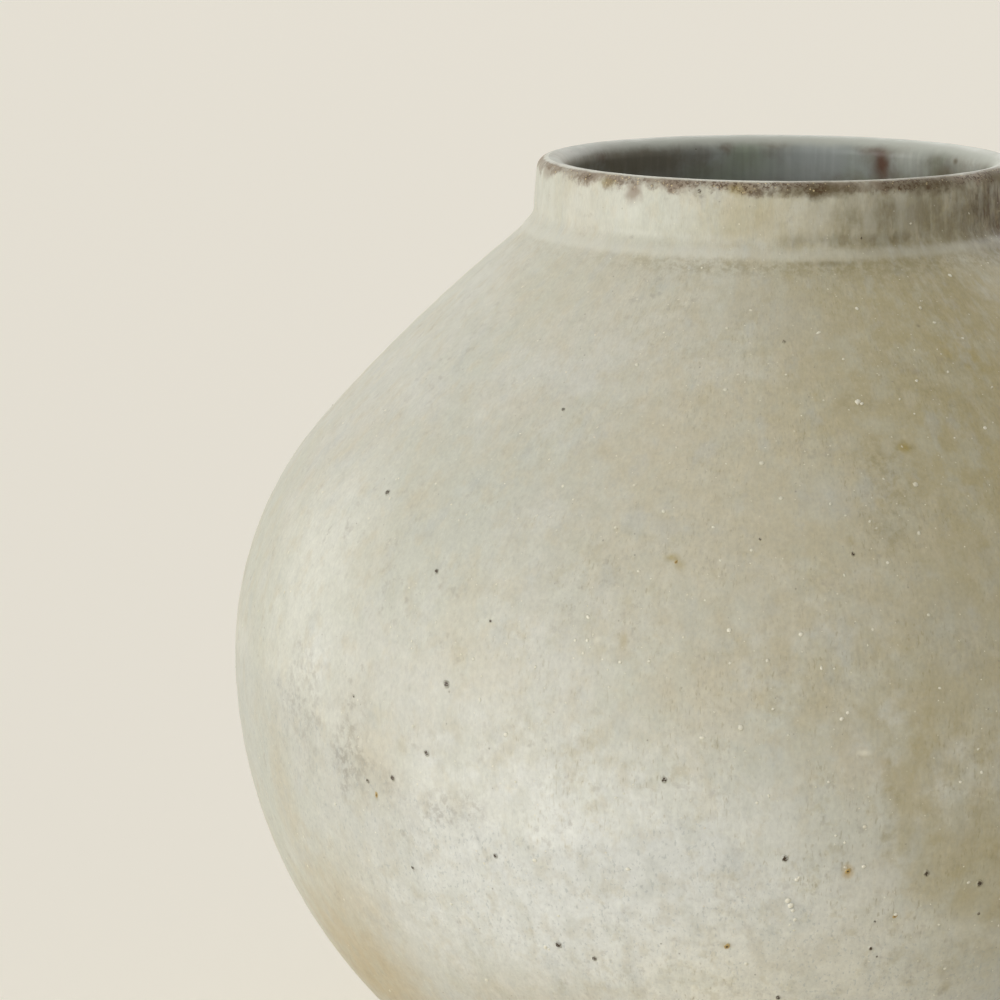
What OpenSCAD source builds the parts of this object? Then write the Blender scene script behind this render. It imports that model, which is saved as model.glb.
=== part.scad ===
// Moon jar, a full round storage jar thrown as two bowls and luted together at the belly.
// Every piece is a revolve about the jar's upright axis. The origin is on the ground,
// under the centre of the foot ring, with +Z up. All sizes are in millimetres.

/* [Body] */
// Largest diameter of the jar, over the glaze
belly_diameter = 240; // [200:1:300]
// Radius of the lower bowl's curve, from the belly joint down to the foot
lower_arc = 110; // [95:1:120]
// Radius of the upper bowl's curve just above the belly joint
upper_arc = 78; // [60:1:86]
// Radius of the long shoulder, which is nearly straight
shoulder_arc = 380; // [250:5:800]
// Height from the belly joint to the root of the collar
shoulder_rise = 96.5; // [92:0.5:120]

/* [Mouth] */
// Outside diameter of the lip, over the glaze
mouth_diameter = 105.5; // [80:0.5:140]
// Height of the collar from its root to the top of the lip
collar_height = 14; // [11:0.5:24]
// Lean of the collar's outside towards the axis as it rises, in degrees
collar_lean = 5; // [0:1:12]
// Thickness of the collar at the lip, over the glaze
lip_thickness = 7; // [5.5:0.25:9]
// Rounding of the lip's outer edge; the inner edge is rounded over the rest
lip_outer_round = 2.8; // [2:0.1:3.5]
// Hollow curve between the shoulder and the collar
root_fillet = 8; // [2:0.5:12]
// Rounding inside the throat, where the collar opens into the body
throat_round = 14; // [8:1:24]

/* [Foot] */
// Outside diameter of the foot ring
foot_diameter = 93; // [76:1:110]
// Height of the foot ring, from the ground to the bowl's base
foot_height = 8; // [6:0.5:14]
// Width of the foot ring
foot_width = 8; // [6.5:0.5:12]
// Rounding of the two edges that the foot ring stands on
foot_round = 1.5; // [0.5:0.25:2.5]

/* [Walls] */
// Thickness of the clay wall at the belly joint and through the shoulder
wall = 6.5; // [5:0.25:9]
// Thickness of the clay under the floor
base_thickness = 9; // [6:0.5:14]

/* [Glaze] */
// Thickness of the glaze coat
glaze = 0.6; // [0.4:0.1:1]
// Height of bare clay between the foot ring and the edge of the outer glaze
bare_band = 3; // [2:0.5:8]
// Radius of the roll in which the outer glaze ends
glaze_roll = 1; // [0.8:0.1:1.4]

/* [Luted joints] */
// Thickness of the slip in each joint
slip = 0.8; // [0.4:0.1:1.2]
// Width of the V ridge that keys the two edges of a joint together
key_width = 4; // [2.5:0.25:4.5]
// Height of the V ridge
key_depth = 1.8; // [1:0.1:2.5]
// Radius of the slip bead squeezed out inside the belly joint
slip_bead = 2; // [1.25:0.25:3.5]

/* [Hidden] */

// Largest angle that one straight piece of a curve spans
arc_step = 6;
// Largest gap between a curve and its straight pieces
chord_gap = 0.02;
// Facets of a full turn
turn_facets = 180;
// Height by which a cutting outline passes the surface that it cuts
past = 1;
// Distance within which two points of an outline count as one
same_point = 0.001;

belly_r = belly_diameter / 2;
foot_r = foot_diameter / 2;
// Distance from the jar's outside to the cavity
shell = wall + 2 * glaze;
// Radius at which clay wall and cavity meet at the belly joint
inner_r = belly_r - glaze - wall;

// Centres of the body's curves, all level with the belly joint but for the shoulder's
lower_x = belly_r - lower_arc;
seam_z = foot_height + sqrt(pow(lower_arc - glaze, 2) - pow(foot_r - lower_x, 2));
lower_c = [lower_x, seam_z];
upper_c = [belly_r - upper_arc, seam_z];

// The collar's outside is a line at right angles to this direction
lean = [cos(collar_lean), sin(collar_lean)];
rise = [-sin(collar_lean), cos(collar_lean)];
root_z = seam_z + shoulder_rise;
top_z = root_z + collar_height;
crest_r = mouth_diameter / 2 - lip_outer_round;
lip_inner_round = lip_thickness - lip_outer_round;
lip_c = [crest_r, top_z - lip_outer_round];
lip_in_c = [crest_r, top_z - lip_inner_round];
collar_line = lip_c * lean + lip_outer_round;
// Where the shoulder would meet the collar's line without a fillet
root = [(collar_line - root_z * lean.y) / lean.x, root_z];

// The shoulder's curve runs on smoothly from the upper curve and passes through the root
reach = norm(root - upper_c);
away = (root - upper_c) / reach;
along = (pow(upper_arc, 2) - 2 * upper_arc * shoulder_arc + pow(reach, 2)) / (2 * reach);
aside = sqrt(pow(shoulder_arc - upper_arc, 2) - pow(along, 2));
shoulder_c = upper_c + along * away + aside * [-away.y, away.x];
shoulder_start = heading(upper_c - shoulder_c);

// Corner curves that touch the shoulder on one side and an upright line on the other
fillet_c = corner(lean, rise, collar_line, root_fillet, shoulder_arc);
throat_r = mouth_diameter / 2 - lip_thickness;
throat_c = corner([1, 0], [0, 1], throat_r, throat_round, shoulder_arc - shell);

floor_z = foot_height + base_thickness;
hollow_arc = seam_z - floor_z;
hollow_c = [inner_r - hollow_arc, seam_z];

// Middle of the wall at each joint, where its ridge stands
belly_mid = belly_r - glaze - wall / 2;
collar_mid = (root.x + throat_r) / 2;
foot_mid = foot_r - foot_width / 2;

// Edge of the outer glaze on the clay
glaze_z = foot_height + bare_band;
glaze_edge = lower_c + (lower_arc - glaze) * polar(-asin((seam_z - glaze_z) / (lower_arc - glaze)));

function polar(a) = [cos(a), sin(a)];
function heading(v) = atan2(v.y, v.x);

// Points along a curve about c, from angle a0 to a1
function arc(c, r, a0, a1) =
    let (
        step = min(arc_step, 2 * acos(1 - chord_gap / r)),
        n = max(1, ceil(abs(a1 - a0) / step))
    )
    [for (i = [0:n]) c + r * polar(a0 + (a1 - a0) * i / n)];

// An outline's points, with each that repeats the one before it left out
function distinct(p) =
    [for (i = [0:len(p) - 1]) if (i == 0 || norm(p[i] - p[max(i - 1, 0)]) > same_point) p[i]];

// Centre of a curve of radius r that touches the line at distance k along n, and a shoulder curve
function corner(n, t, k, r, shoulder) =
    let (off = k + r - shoulder_c * n)
    n * (k + r) + t * (shoulder_c * t + sqrt(pow(shoulder + r, 2) - pow(off, 2)));

// The jar's outside at depth d under the glazed surface, from the bowl's base to the lip's crest
function outside(d) =
    let (
        base = asin((seam_z - foot_height) / (lower_arc - d)),
        shoulder_end = heading(fillet_c - shoulder_c)
    )
    concat(
        arc(lower_c, lower_arc - d, -base, 0),
        arc(upper_c, upper_arc - d, 0, shoulder_start),
        arc(shoulder_c, shoulder_arc - d, shoulder_start, shoulder_end),
        arc(fillet_c, root_fillet + d, 180 + shoulder_end, 180 + collar_lean),
        arc(lip_c, lip_outer_round - d, collar_lean, 90)
    );

// The cavity at depth d under the glazed surface, from the lip's crest to the middle of the floor
function inside(d) =
    let (shoulder_end = heading(throat_c - shoulder_c), hollow = hollow_arc + d - glaze)
    concat(
        arc(lip_in_c, lip_inner_round - d, 90, 180),
        arc(throat_c, throat_round - d, 180, 180 + shoulder_end),
        arc(shoulder_c, shoulder_arc - shell + d, shoulder_end, shoulder_start),
        arc(upper_c, upper_arc - shell + d, shoulder_start, 0),
        arc(hollow_c, hollow, 0, -90),
        [[0, seam_z - hollow]]
    );

// Everything within the outside at depth d, up past the lip
module core(d) {
    polygon(distinct(concat(
        [[0, foot_height]], outside(d),
        [[crest_r, top_z + past], [0, top_z + past]]
    )));
}

// Everything within the cavity at depth d, up past the lip
module hollow(d) {
    polygon(distinct(concat([[0, top_z + past], [crest_r, top_z + past]], inside(d))));
}

// The clay of both bowls and the collar, in one outline
module clay() {
    polygon(distinct(concat([[0, foot_height]], outside(glaze), inside(glaze))));
}

// Everything under a joint at height z, with its ridge at radius mid
module under(z, mid) {
    far = belly_r + past;
    polygon([
        [0, -past], [0, z], [mid - key_width / 2, z], [mid, z + key_depth],
        [mid + key_width / 2, z], [far, z], [far, -past]
    ]);
}

// Turns an outline about the jar's axis
module turned() {
    rotate_extrude($fn = turn_facets) children();
}

// The half round bead of slip on the cavity wall, with a coat of thickness d
module bead(d) {
    polygon(arc([inner_r, seam_z], slip_bead + d, 90, 270));
}

// The foot's outline, square on top and rounded where it stands
module foot_outline() {
    polygon(concat(
        arc([foot_r - foot_width + foot_round, foot_round], foot_round, 180, 270),
        arc([foot_r - foot_round, foot_round], foot_round, 270, 360),
        [[foot_r, foot_height + key_depth], [foot_r - foot_width, foot_height + key_depth]]
    ));
}

module foot_ring() {
    color([0.66, 0.47, 0.33]) turned() intersection() {
        foot_outline();
        under(foot_height - slip, foot_mid);
    }
}

module foot_slip() {
    color([0.74, 0.60, 0.46]) turned() difference() {
        intersection() {
            foot_outline();
            under(foot_height, foot_mid);
        }
        under(foot_height - slip, foot_mid);
    }
}

module lower_bowl() {
    color([0.68, 0.50, 0.36]) turned() difference() {
        intersection() {
            clay();
            under(seam_z - slip / 2, belly_mid);
        }
        under(foot_height, foot_mid);
    }
}

module seam_slip() {
    color([0.74, 0.60, 0.46]) turned() {
        difference() {
            intersection() {
                clay();
                under(seam_z + slip / 2, belly_mid);
            }
            under(seam_z - slip / 2, belly_mid);
        }
        difference() {
            bead(0);
            clay();
        }
    }
}

module upper_bowl() {
    color([0.70, 0.52, 0.38]) turned() difference() {
        intersection() {
            clay();
            under(root_z - slip / 2, collar_mid);
        }
        under(seam_z + slip / 2, belly_mid);
    }
}

module collar_slip() {
    color([0.74, 0.60, 0.46]) turned() difference() {
        intersection() {
            clay();
            under(root_z + slip / 2, collar_mid);
        }
        under(root_z - slip / 2, collar_mid);
    }
}

module mouth_collar() {
    color([0.64, 0.45, 0.32]) turned() difference() {
        clay();
        under(root_z + slip / 2, collar_mid);
    }
}

module outer_glaze() {
    color([0.80, 0.80, 0.74]) turned() {
        difference() {
            core(0);
            core(glaze);
            translate([0, -past]) square([belly_r + past, glaze_z + past]);
        }
        difference() {
            polygon(arc(glaze_edge, glaze_roll, 0, 360 - arc_step));
            core(glaze);
        }
    }
}

module inner_glaze() {
    color([0.50, 0.50, 0.46]) turned() difference() {
        hollow(glaze);
        bead(0);
        difference() {
            hollow(0);
            bead(glaze);
        }
    }
}

foot_ring();
foot_slip();
lower_bowl();
seam_slip();
upper_bowl();
collar_slip();
mouth_collar();
outer_glaze();
inner_glaze();
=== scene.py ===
"""Moon jar: the glazes, iron specks, feldspar grains, bare clay and studio around the jar's solids."""

import math

import bpy
import numpy as np
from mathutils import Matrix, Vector
from mathutils.bvhtree import BVHTree


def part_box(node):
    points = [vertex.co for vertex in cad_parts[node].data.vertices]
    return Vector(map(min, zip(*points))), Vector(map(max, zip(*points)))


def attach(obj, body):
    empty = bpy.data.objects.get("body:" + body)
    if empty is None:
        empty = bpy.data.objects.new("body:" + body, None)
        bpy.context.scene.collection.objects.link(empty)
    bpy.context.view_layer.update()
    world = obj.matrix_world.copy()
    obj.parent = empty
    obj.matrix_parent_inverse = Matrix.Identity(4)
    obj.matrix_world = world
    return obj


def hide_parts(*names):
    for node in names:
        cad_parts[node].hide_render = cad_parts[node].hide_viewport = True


bl_info = {
    "name": "Moon Jar",
    "version": (1, 0, 0),
    "blender": (4, 5, 0),
    "location": "View3D > Sidebar > Moon Jar",
    "description": "Glazes a luted moon jar and sets it in a plain studio",
    "category": "Object",
}

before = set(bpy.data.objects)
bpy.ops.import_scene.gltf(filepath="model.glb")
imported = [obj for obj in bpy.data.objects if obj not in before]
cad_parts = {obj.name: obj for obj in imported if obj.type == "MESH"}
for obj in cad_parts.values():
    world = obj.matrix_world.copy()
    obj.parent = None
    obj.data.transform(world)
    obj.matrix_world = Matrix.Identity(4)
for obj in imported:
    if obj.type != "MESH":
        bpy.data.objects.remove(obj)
ROOT = "root"
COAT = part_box("outer_glaze")
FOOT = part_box("foot_ring")
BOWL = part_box("lower_bowl")

# The view's side in pixels, for the places below that are read off the photograph
VIEW = 1000
MM = 0.001
# Heights and turns over which the overlap line of the glaze is drawn
LINE_REACH = 0.2
TURN = 2 * math.pi
# Steps round the jar of each turned mesh: fine for the glazes, which the view shows
OUTER_SIDES, INNER_SIDES, CLAY_SIDES = 460, 432, 360
# Longest steps along a glaze's section in metres, on its wide and on its narrow curves
OUTER_STEPS, INNER_STEPS, HIDDEN_STEPS = (0.0023, 0.0006), (0.0021, 0.0008), (0.012, 0.003)
# The same along the clay: where it is trimmed, where it is bare and where it is covered
TRIMMED_STEP, BARE_STEP, COVERED_STEP, ROUND_STEP = 0.0006, 0.0005, 0.006, 0.0004
# The floor's first ring in metres, and its rings and sides
FLOOR_START, FLOOR_RINGS, FLOOR_SIDES = 0.05, 24, 96
# Colour of the even light from all round
EVEN_LIGHT = (1, 0.985, 0.96, 1)
# The fold where the collar stands on the shoulder: each wave's height over the root, and width
FOLD_RIDGE, FOLD_GROOVE = (-0.0009, 0.0011), (0.0022, 0.0013)
# Heights in metres from which, and up to which, specks and grains are strewn
SPECK_FOOT, SPECK_TOP = (0.02, 0.05), 0.205
GRAIN_FOOT, GRAIN_TOP = (0.012, 0.02), 0.219
# Height over which the grains thin out to half as many on the collar
GRAIN_THIN = (0.192, 0.2)

# Iron specks seen in the view: pixel across, pixel down, width in millimetres
IRON_SEEN = [
    (387, 492, 1.5), (436, 571, 1.2), (446, 684, 1.6), (426, 753, 1.5), (392, 778, 1.4),
    (367, 781, 1.1), (495, 856, 1.2), (412, 868, 0.9), (563, 409, 0.95), (784, 341, 0.9),
    (853, 554, 1.0), (760, 539, 0.7), (664, 780, 1.4), (785, 859, 1.5),
    (927, 874, 1.4), (980, 884, 1.6), (871, 949, 1.0), (778, 998, 1.3), (558, 945, 1.7),
    (594, 959, 1.3), (490, 621, 0.7), (353, 696, 0.8), (862, 238, 0.5), (699, 191, 1.0),
    (877, 957, 0.6), (979, 914, 0.8), (875, 922, 0.6),
]
# Amber specks seen in the view, in the same form
AMBER_SEEN = [(376, 795, 1.6), (676, 562, 1.0), (848, 872, 1.6), (727, 947, 1.8), (895, 917, 1.4)]
# Coarse white grains seen in the view, in the same form
WHITE_SEEN = [
    (858, 401, 1.7), (862, 403, 1.1), (917, 380, 1.0), (398, 478, 0.7), (466, 514, 0.6), (390, 627, 0.8),
    (411, 641, 0.7), (411, 648, 0.6), (496, 584, 0.6), (786, 374, 0.7), (664, 332, 0.8),
    (573, 499, 0.7), (615, 527, 0.8), (575, 640, 0.9), (587, 640, 1.0), (590, 647, 0.6), (593, 634, 0.5),
    (583, 653, 0.8), (620, 662, 1.0), (535, 667, 0.8), (801, 634, 1.3), (797, 880, 1.3), (799, 878, 0.9),
    (788, 901, 1.7), (791, 906, 1.8), (793, 911, 1.1), (795, 920, 1.1), (790, 925, 0.7),
    (842, 719, 1.2), (702, 267, 0.9),
    (522, 286, 1.0), (515, 782, 0.8), (545, 948, 1.4), (773, 709, 0.9), (730, 663, 0.8),
    (649, 661, 0.9), (757, 803, 0.9), (836, 836, 0.8), (829, 782, 0.8), (961, 782, 0.9),
    (864, 867, 1.2), (845, 843, 0.8), (896, 915, 1.1), (945, 969, 0.9), (705, 600, 0.7),
]
# Clouds and stains seen in the view, some of them painted shade and painted light as noted below:
# pixel across, pixel down, reach across and up in millimetres, colour, strength,
# raggedness of the edge
STAINS_SEEN = {
    # right_straw and the right_straw_ stains below darken and warm the jar's right side: partly straw
    # glaze, partly painted shade on the side away from the key light
    "right_straw": (1000, 430, 70, 120, "straw", 0.95, 0.3),
    "shoulder_straw": (850, 300, 36, 16, "straw", 0.45, 0.5),
    "right_straw_high": (965, 310, 24, 24, "straw", 0.95, 0.5),
    "right_straw_low": (950, 690, 16, 20, "straw", 0.5, 0.7),
    "middle_straw": (826, 690, 14, 18, "straw", 0.45, 0.8),
    "middle_straw_high": (826, 550, 12, 14, "straw", 0.35, 0.8),
    "right_straw_foot": (950, 850, 14, 14, "straw", 0.5, 0.7),
    "right_straw_mid": (830, 410, 18, 18, "straw", 0.75, 0.7),
    "right_olive_high": (945, 300, 13, 11, "olive", 0.3, 0.7),
    "right_olive_mid": (945, 400, 12, 14, "olive", 0.25, 0.8),
    "centre_wheat": (730, 480, 42, 70, "wheat", 0.75, 0.4),
    "shoulder_grey": (620, 290, 46, 16, "wheat", 0.4, 0.4),
    "left_bloom": (315, 560, 26, 38, "bloom", 0.85, 0.4),
    "centre_sand": (700, 690, 16, 22, "sand", 0.45, 0.8),
    "centre_sand_high": (640, 440, 18, 22, "sand", 0.35, 0.8),
    "centre_green": (560, 560, 16, 20, "mist", 0.3, 0.9),
    # low_bloom and low_white lighten the lower front: partly thick milky glaze, partly painted bounce
    # light from below
    "low_bloom": (600, 900, 66, 42, "milk", 1.0, 0.4),
    "low_white": (580, 905, 44, 34, "milk", 1.0, 0.4),
    "overlap_white": (450, 782, 13, 6, "milk", 0.55, 0.5),
    "overlap_white_left": (312, 668, 8, 11, "milk", 0.4, 0.6),
    "low_pearl": (800, 995, 48, 26, "pearl", 0.75, 0.4),
    "right_green": (850, 830, 16, 12, "mist", 0.45, 0.9),
    "right_blue": (955, 640, 9, 12, "slate", 0.35, 0.8),
    "right_blue_low": (965, 835, 5, 7, "slate", 0.45, 0.9),
    "right_blue_mid": (835, 500, 6, 6, "slate", 0.4, 0.9),
    "right_blue_high": (770, 315, 12, 6, "slate", 0.3, 0.9),
    "right_olive_field": (890, 470, 9, 18, "olive", 0.6, 0.9),
    "right_olive": (904, 447, 1.8, 2.9, "moss", 0.75, 0.6),
    "right_olive_side": (913, 447, 1.0, 0.9, "olive", 0.7, 0.6),
    "right_moss_low": (876, 500, 2.6, 1.8, "moss", 0.45, 0.9),
    "right_moss_drop": (850, 540, 1.5, 1.4, "moss", 0.6, 0.7),
    "right_moss_patch": (818, 394, 2.2, 2.0, "moss", 0.4, 0.8),
    "right_moss_edge": (968, 358, 8, 7, "moss", 0.4, 0.6),
    "brown_drip": (890, 812, 2.2, 16, "olive", 0.5, 0.9),
    "brown_drip_wide": (912, 790, 7, 22, "straw", 0.6, 0.8),
    "rust_streak": (728, 648, 0.9, 6, "olive", 0.45, 0.6),
    "pink_patch": (853, 770, 7, 8, "sand", 0.5, 0.9),
    "pale_chip": (597, 640, 1.0, 1.5, "pearl", 0.6, 0.2),
    "pale_dash": (864, 753, 1.9, 0.8, "pearl", 0.6, 0.4),
    "olive_low": (885, 525, 5, 7, "olive", 0.5, 0.9),
    "olive_top": (850, 398, 7, 5, "olive", 0.35, 0.9),
    # low_right: partly straw glaze, partly painted shade low on the jar's right
    "low_right": (995, 890, 20, 30, "straw", 0.68, 0.5),
    # lump_shade is a painted shadow beside the large white lump
    "lump_shade": (797, 908, 1.1, 1.5, "smoke", 0.5, 0.5),
    "low_olive": (560, 1008, 30, 12, "tan", 0.3, 0.6),
    "smoke_left": (350, 752, 8, 13, "smoke", 0.9, 0.9),
    "smoke_low": (388, 775, 7, 6, "smoke", 0.45, 1.0),
    "smoke_edge": (300, 700, 12, 14, "smoke", 0.6, 0.9),
    "smoke_tail": (455, 808, 11, 6, "smoke", 0.6, 0.8),
    "smoke_down": (405, 835, 9, 8, "smoke", 0.22, 1.0),
    "smoke_pink": (375, 760, 9, 12, "sand", 0.5, 0.8),
    "low_slate": (640, 850, 22, 10, "slate", 0.15, 0.8),
    # low_warm and low_warm_rim are painted warm bounce light from below, on the lower left
    "low_warm": (370, 972, 30, 31, "tan", 0.9, 0.3),
    "low_warm_rim": (284, 800, 8, 22, "sand", 0.7, 0.5),
    "amber_spot": (671, 557, 1.9, 1.2, "moss", 0.6, 0.6),
    "amber_spot_low": (679, 564, 1.4, 1.5, "moss", 0.4, 0.6),
    "amber_streak": (623, 640, 1.1, 2.6, "moss", 0.4, 0.5),
    "amber_low": (848, 873, 1.6, 2.0, "amber", 0.85, 0.7),
    "amber_chip": (727, 946, 1.7, 1.1, "moss", 0.55, 0.8),
    "amber_streak_low": (945, 988, 1.2, 2.6, "moss", 0.4, 0.8),
    "amber_dot": (376, 797, 0.7, 1.1, "moss", 0.85, 0.4),
    "lump_halo": (893, 920, 2.4, 2.4, "moss", 0.4, 0.8),
    "green_drop": (417, 517, 0.7, 1.7, "olive", 0.6, 0.4),
    "grey_drop": (270, 541, 0.9, 2.2, "smoke", 0.8, 0.4),
    "tan_dash": (537, 297, 0.8, 1.7, "sand", 0.8, 0.4),
    "neck_middle": (740, 215, 15, 9, "wheat", 0.8, 0.5),
    "neck_straw": (748, 219, 11, 7, "straw", 0.4, 0.6),
    "neck_left": (655, 212, 24, 9, "mist", 0.5, 0.6),
    "neck_speck": (631, 237, 0.8, 0.7, "umber", 0.6, 0.4),
    "soft_speck": (919, 325, 0.9, 0.8, "umber", 0.6, 0.6),
    "soft_speck_low": (952, 404, 1.1, 0.9, "umber", 0.45, 0.8),
    "shoulder_speck": (902, 358, 1.0, 0.6, "umber", 0.3, 0.8),
    "scratch": (512, 789, 3.0, 0.16, "pearl", 0.32, 0.05),
    "scratch_middle": (646, 717, 2.6, 0.14, "pearl", 0.25, 0.05),
    "scratch_low": (632, 823, 2.6, 0.14, "pearl", 0.3, 0.05),
    # neck_shade, neck_dark and neck_tan are painted shade: the collar's right side darkening to its
    # edge, away from the key light
    "neck_shade": (996, 208, 20, 13, "bark", 1.0, 0.2),
    "neck_dark": (1000, 205, 18, 15, "umber", 1.0, 0.3),
    "neck_tan": (915, 214, 24, 10, "bark", 0.7, 0.4),
    # neck_foot is painted shade in the groove just above the collar's root
    "neck_foot": (850, 240, 20, 1.7, "bark", 0.4, 0.8),
    "shoulder_line": (832, 264, 9, 0.7, "bark", 0.4, 0.6),
    "shoulder_olive": (900, 268, 22, 5, "olive", 0.35, 0.8),
}
# Stains on the sides that the view doesn't show: turn in degrees, height, reach around and up
# in millimetres, colour, strength, raggedness of the edge
STAINS_BEHIND = {
    "side_straw": (-20, 120, 50, 80, "straw", 0.5, 0.4),
    "back_wheat": (70, 130, 60, 60, "wheat", 0.6, 0.5),
    "back_bloom": (95, 150, 34, 26, "bloom", 0.6, 0.6),
    "back_sand": (125, 120, 24, 30, "sand", 0.5, 0.8),
    "back_olive": (52, 135, 9, 16, "olive", 0.45, 0.9),
    "back_moss": (50, 140, 2.4, 3.4, "moss", 0.7, 0.7),
    "back_slate": (100, 74, 26, 18, "slate", 0.5, 0.8),
    "back_smoke": (60, 84, 10, 9, "smoke", 0.5, 1.0),
    "back_mist": (150, 175, 30, 20, "mist", 0.55, 0.6),
    "side_sand": (20, 165, 22, 18, "sand", 0.5, 0.8),
    "side_slate": (10, 90, 20, 20, "slate", 0.45, 0.8),
    "side_drip": (32, 80, 2.4, 20, "olive", 0.5, 0.9),
    "left_sand": (168, 60, 24, 22, "sand", 0.5, 0.7),
    "back_amber": (92, 128, 2.2, 2.4, "moss", 0.6, 0.7),
    "back_dark": (30, 214, 20, 8, "bark", 0.6, 0.6),
}
# Marks on the lip, in the same form as the stains seen in the view
LIP_SEEN = {
    "mauve_edge": (548, 170, 4.5, 2.4, "mauve", 0.6, 0.6),
    "amber_grains": (606, 181, 2.4, 0.9, "umber", 0.7, 0.9),
    "amber_grains_middle": (733, 189, 2.8, 1.1, "umber", 0.75, 0.9),
    "mauve_drip": (633, 192, 2.8, 2.9, "mauve", 0.85, 0.7),
    "mauve_middle": (672, 186, 5, 1.9, "mauve", 0.6, 0.8),
    "grains_left": (588, 177, 3.0, 1.2, "umber", 0.85, 0.7),
    "amber_left": (606, 182, 3.0, 1.4, "moss", 0.42, 0.8),
    "amber_middle": (735, 190, 3.6, 1.7, "moss", 0.5, 0.8),
    "grains_middle": (700, 192, 1.4, 2.6, "umber", 0.5, 0.8),
    "dark_right": (815, 190, 10, 2.0, "umber", 1.0, 0.8),
    "dark_middle": (765, 193, 5, 1.4, "umber", 0.7, 0.8),
    "dark_brown": (818, 190, 12, 2.2, "bark", 0.75, 0.5),
    "dark_gap": (880, 189, 3.2, 2.0, "umber", 1.0, 0.6),
    "dark_far": (935, 184, 10, 2.4, "umber", 1.0, 0.6),
    "dark_field": (925, 183, 16, 2.7, "bark", 0.75, 0.4),
    "dark_edge": (996, 173, 9, 3.4, "bark", 0.95, 0.3),
}
# How far each colour breaks up into grains
GRAINY = {"smoke": 0.85, "olive": 0.75, "umber": 0.7, "moss": 0.25, "slate": 0.3}
# The edge where two coats of glaze overlap: pixels across and down on the seen side
OVERLAP_SEEN = [
    (243, 640), (290, 672), (330, 720), (400, 770), (470, 803), (550, 830), (620, 822),
    (700, 806), (750, 850), (850, 905), (960, 930),
]
# The same edge on the far side: turn in degrees and height in millimetres
OVERLAP_BEHIND = [(20, 52), (50, 66), (80, 58), (110, 70), (140, 88), (165, 100)]
# Drips and patches of the inner glaze that the view shows, in the same form
INSIDE_SEEN = {
    "left_earth": (640, 160, 30, 10, "earth", 0.8, 0.4),
    "middle_pool": (748, 158, 8, 7, "pool", 0.7, 0.7),
    "middle_steel": (825, 158, 17, 9, "steel", 0.8, 0.6),
    "dark_patch": (773, 143, 4.5, 1.4, "earth", 0.85, 0.6),
    "left_rust": (602, 157, 2.6, 2.2, "rust", 0.45, 0.7),
    "rust_corner": (727, 146, 2.2, 2.6, "rust", 0.5, 0.8),
    "pale_patch": (912, 157, 8, 6, "fog", 0.62, 0.5),
    "rust_run": (881, 163, 2.3, 4.6, "rust", 1.0, 0.8),
    "rust_top": (870, 148, 4.2, 2.2, "rust", 0.6, 0.7),
    "mauve_smear": (910, 144, 5, 1.3, "mauve", 0.65, 0.7),
    "right_pale": (975, 158, 14, 8, "fog", 0.9, 0.3),
    # right_shade is painted shade on the inner wall's right, under the lip
    "right_shade": (972, 158, 14, 8, "smoke", 0.45, 0.5),
    "dark_spot": (955, 161, 1.2, 0.9, "earth", 0.9, 0.5),
}
# The same out of sight: turn in degrees, height below the lip, reach around and up in
# millimetres, colour, strength, raggedness
INSIDE_BEHIND = {
    "left_wall": (165, 10, 24, 14, "earth", 0.7, 0.5),
    "floor_pool": (0, 205, 30, 8, "pool", 0.9, 0.5),
    "near_steel": (-80, 12, 30, 14, "steel", 0.7, 0.7),
    "near_earth": (-130, 14, 24, 14, "earth", 0.6, 0.7),
    "wall_run": (-30, 40, 8, 40, "earth", 0.45, 0.9),
    "wall_rust": (200, 60, 5, 30, "rust", 0.3, 0.9),
}


def srgb(red, green, blue):
    """A colour read as 0 to 255 on a screen, as the linear colour of a shader."""
    def linear(level):
        share = level / 255
        return share / 12.92 if share <= 0.04045 else ((share + 0.055) / 1.055) ** 2.4
    return linear(red), linear(green), linear(blue), 1.0


# Grains of sand and iron in bare clay, and the sparkle of the grains on the lip
SAND_GRAIN, DARK_GRAIN, SPARKLE = srgb(222, 206, 180), srgb(58, 40, 28), srgb(226, 206, 158)


def length(label, default, note):
    """A size in metres that a user may change."""
    return bpy.props.FloatProperty(
        name=label, description=note, default=default, min=0, precision=5,
        unit="LENGTH", subtype="DISTANCE")


def share(label, default, note, most=1.0):
    """A strength or share that a user may change."""
    return bpy.props.FloatProperty(name=label, description=note, default=default, min=0, max=most)


def turn(label, degrees, note):
    """An angle that a user may change, kept in radians."""
    return bpy.props.FloatProperty(
        name=label, description=note, default=math.radians(degrees), subtype="ANGLE",
        unit="ROTATION")


def tint(label, default, note):
    """A colour that a user may change."""
    return bpy.props.FloatVectorProperty(
        name=label, description=note, default=default, size=4, min=0, max=1, subtype="COLOR")


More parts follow.
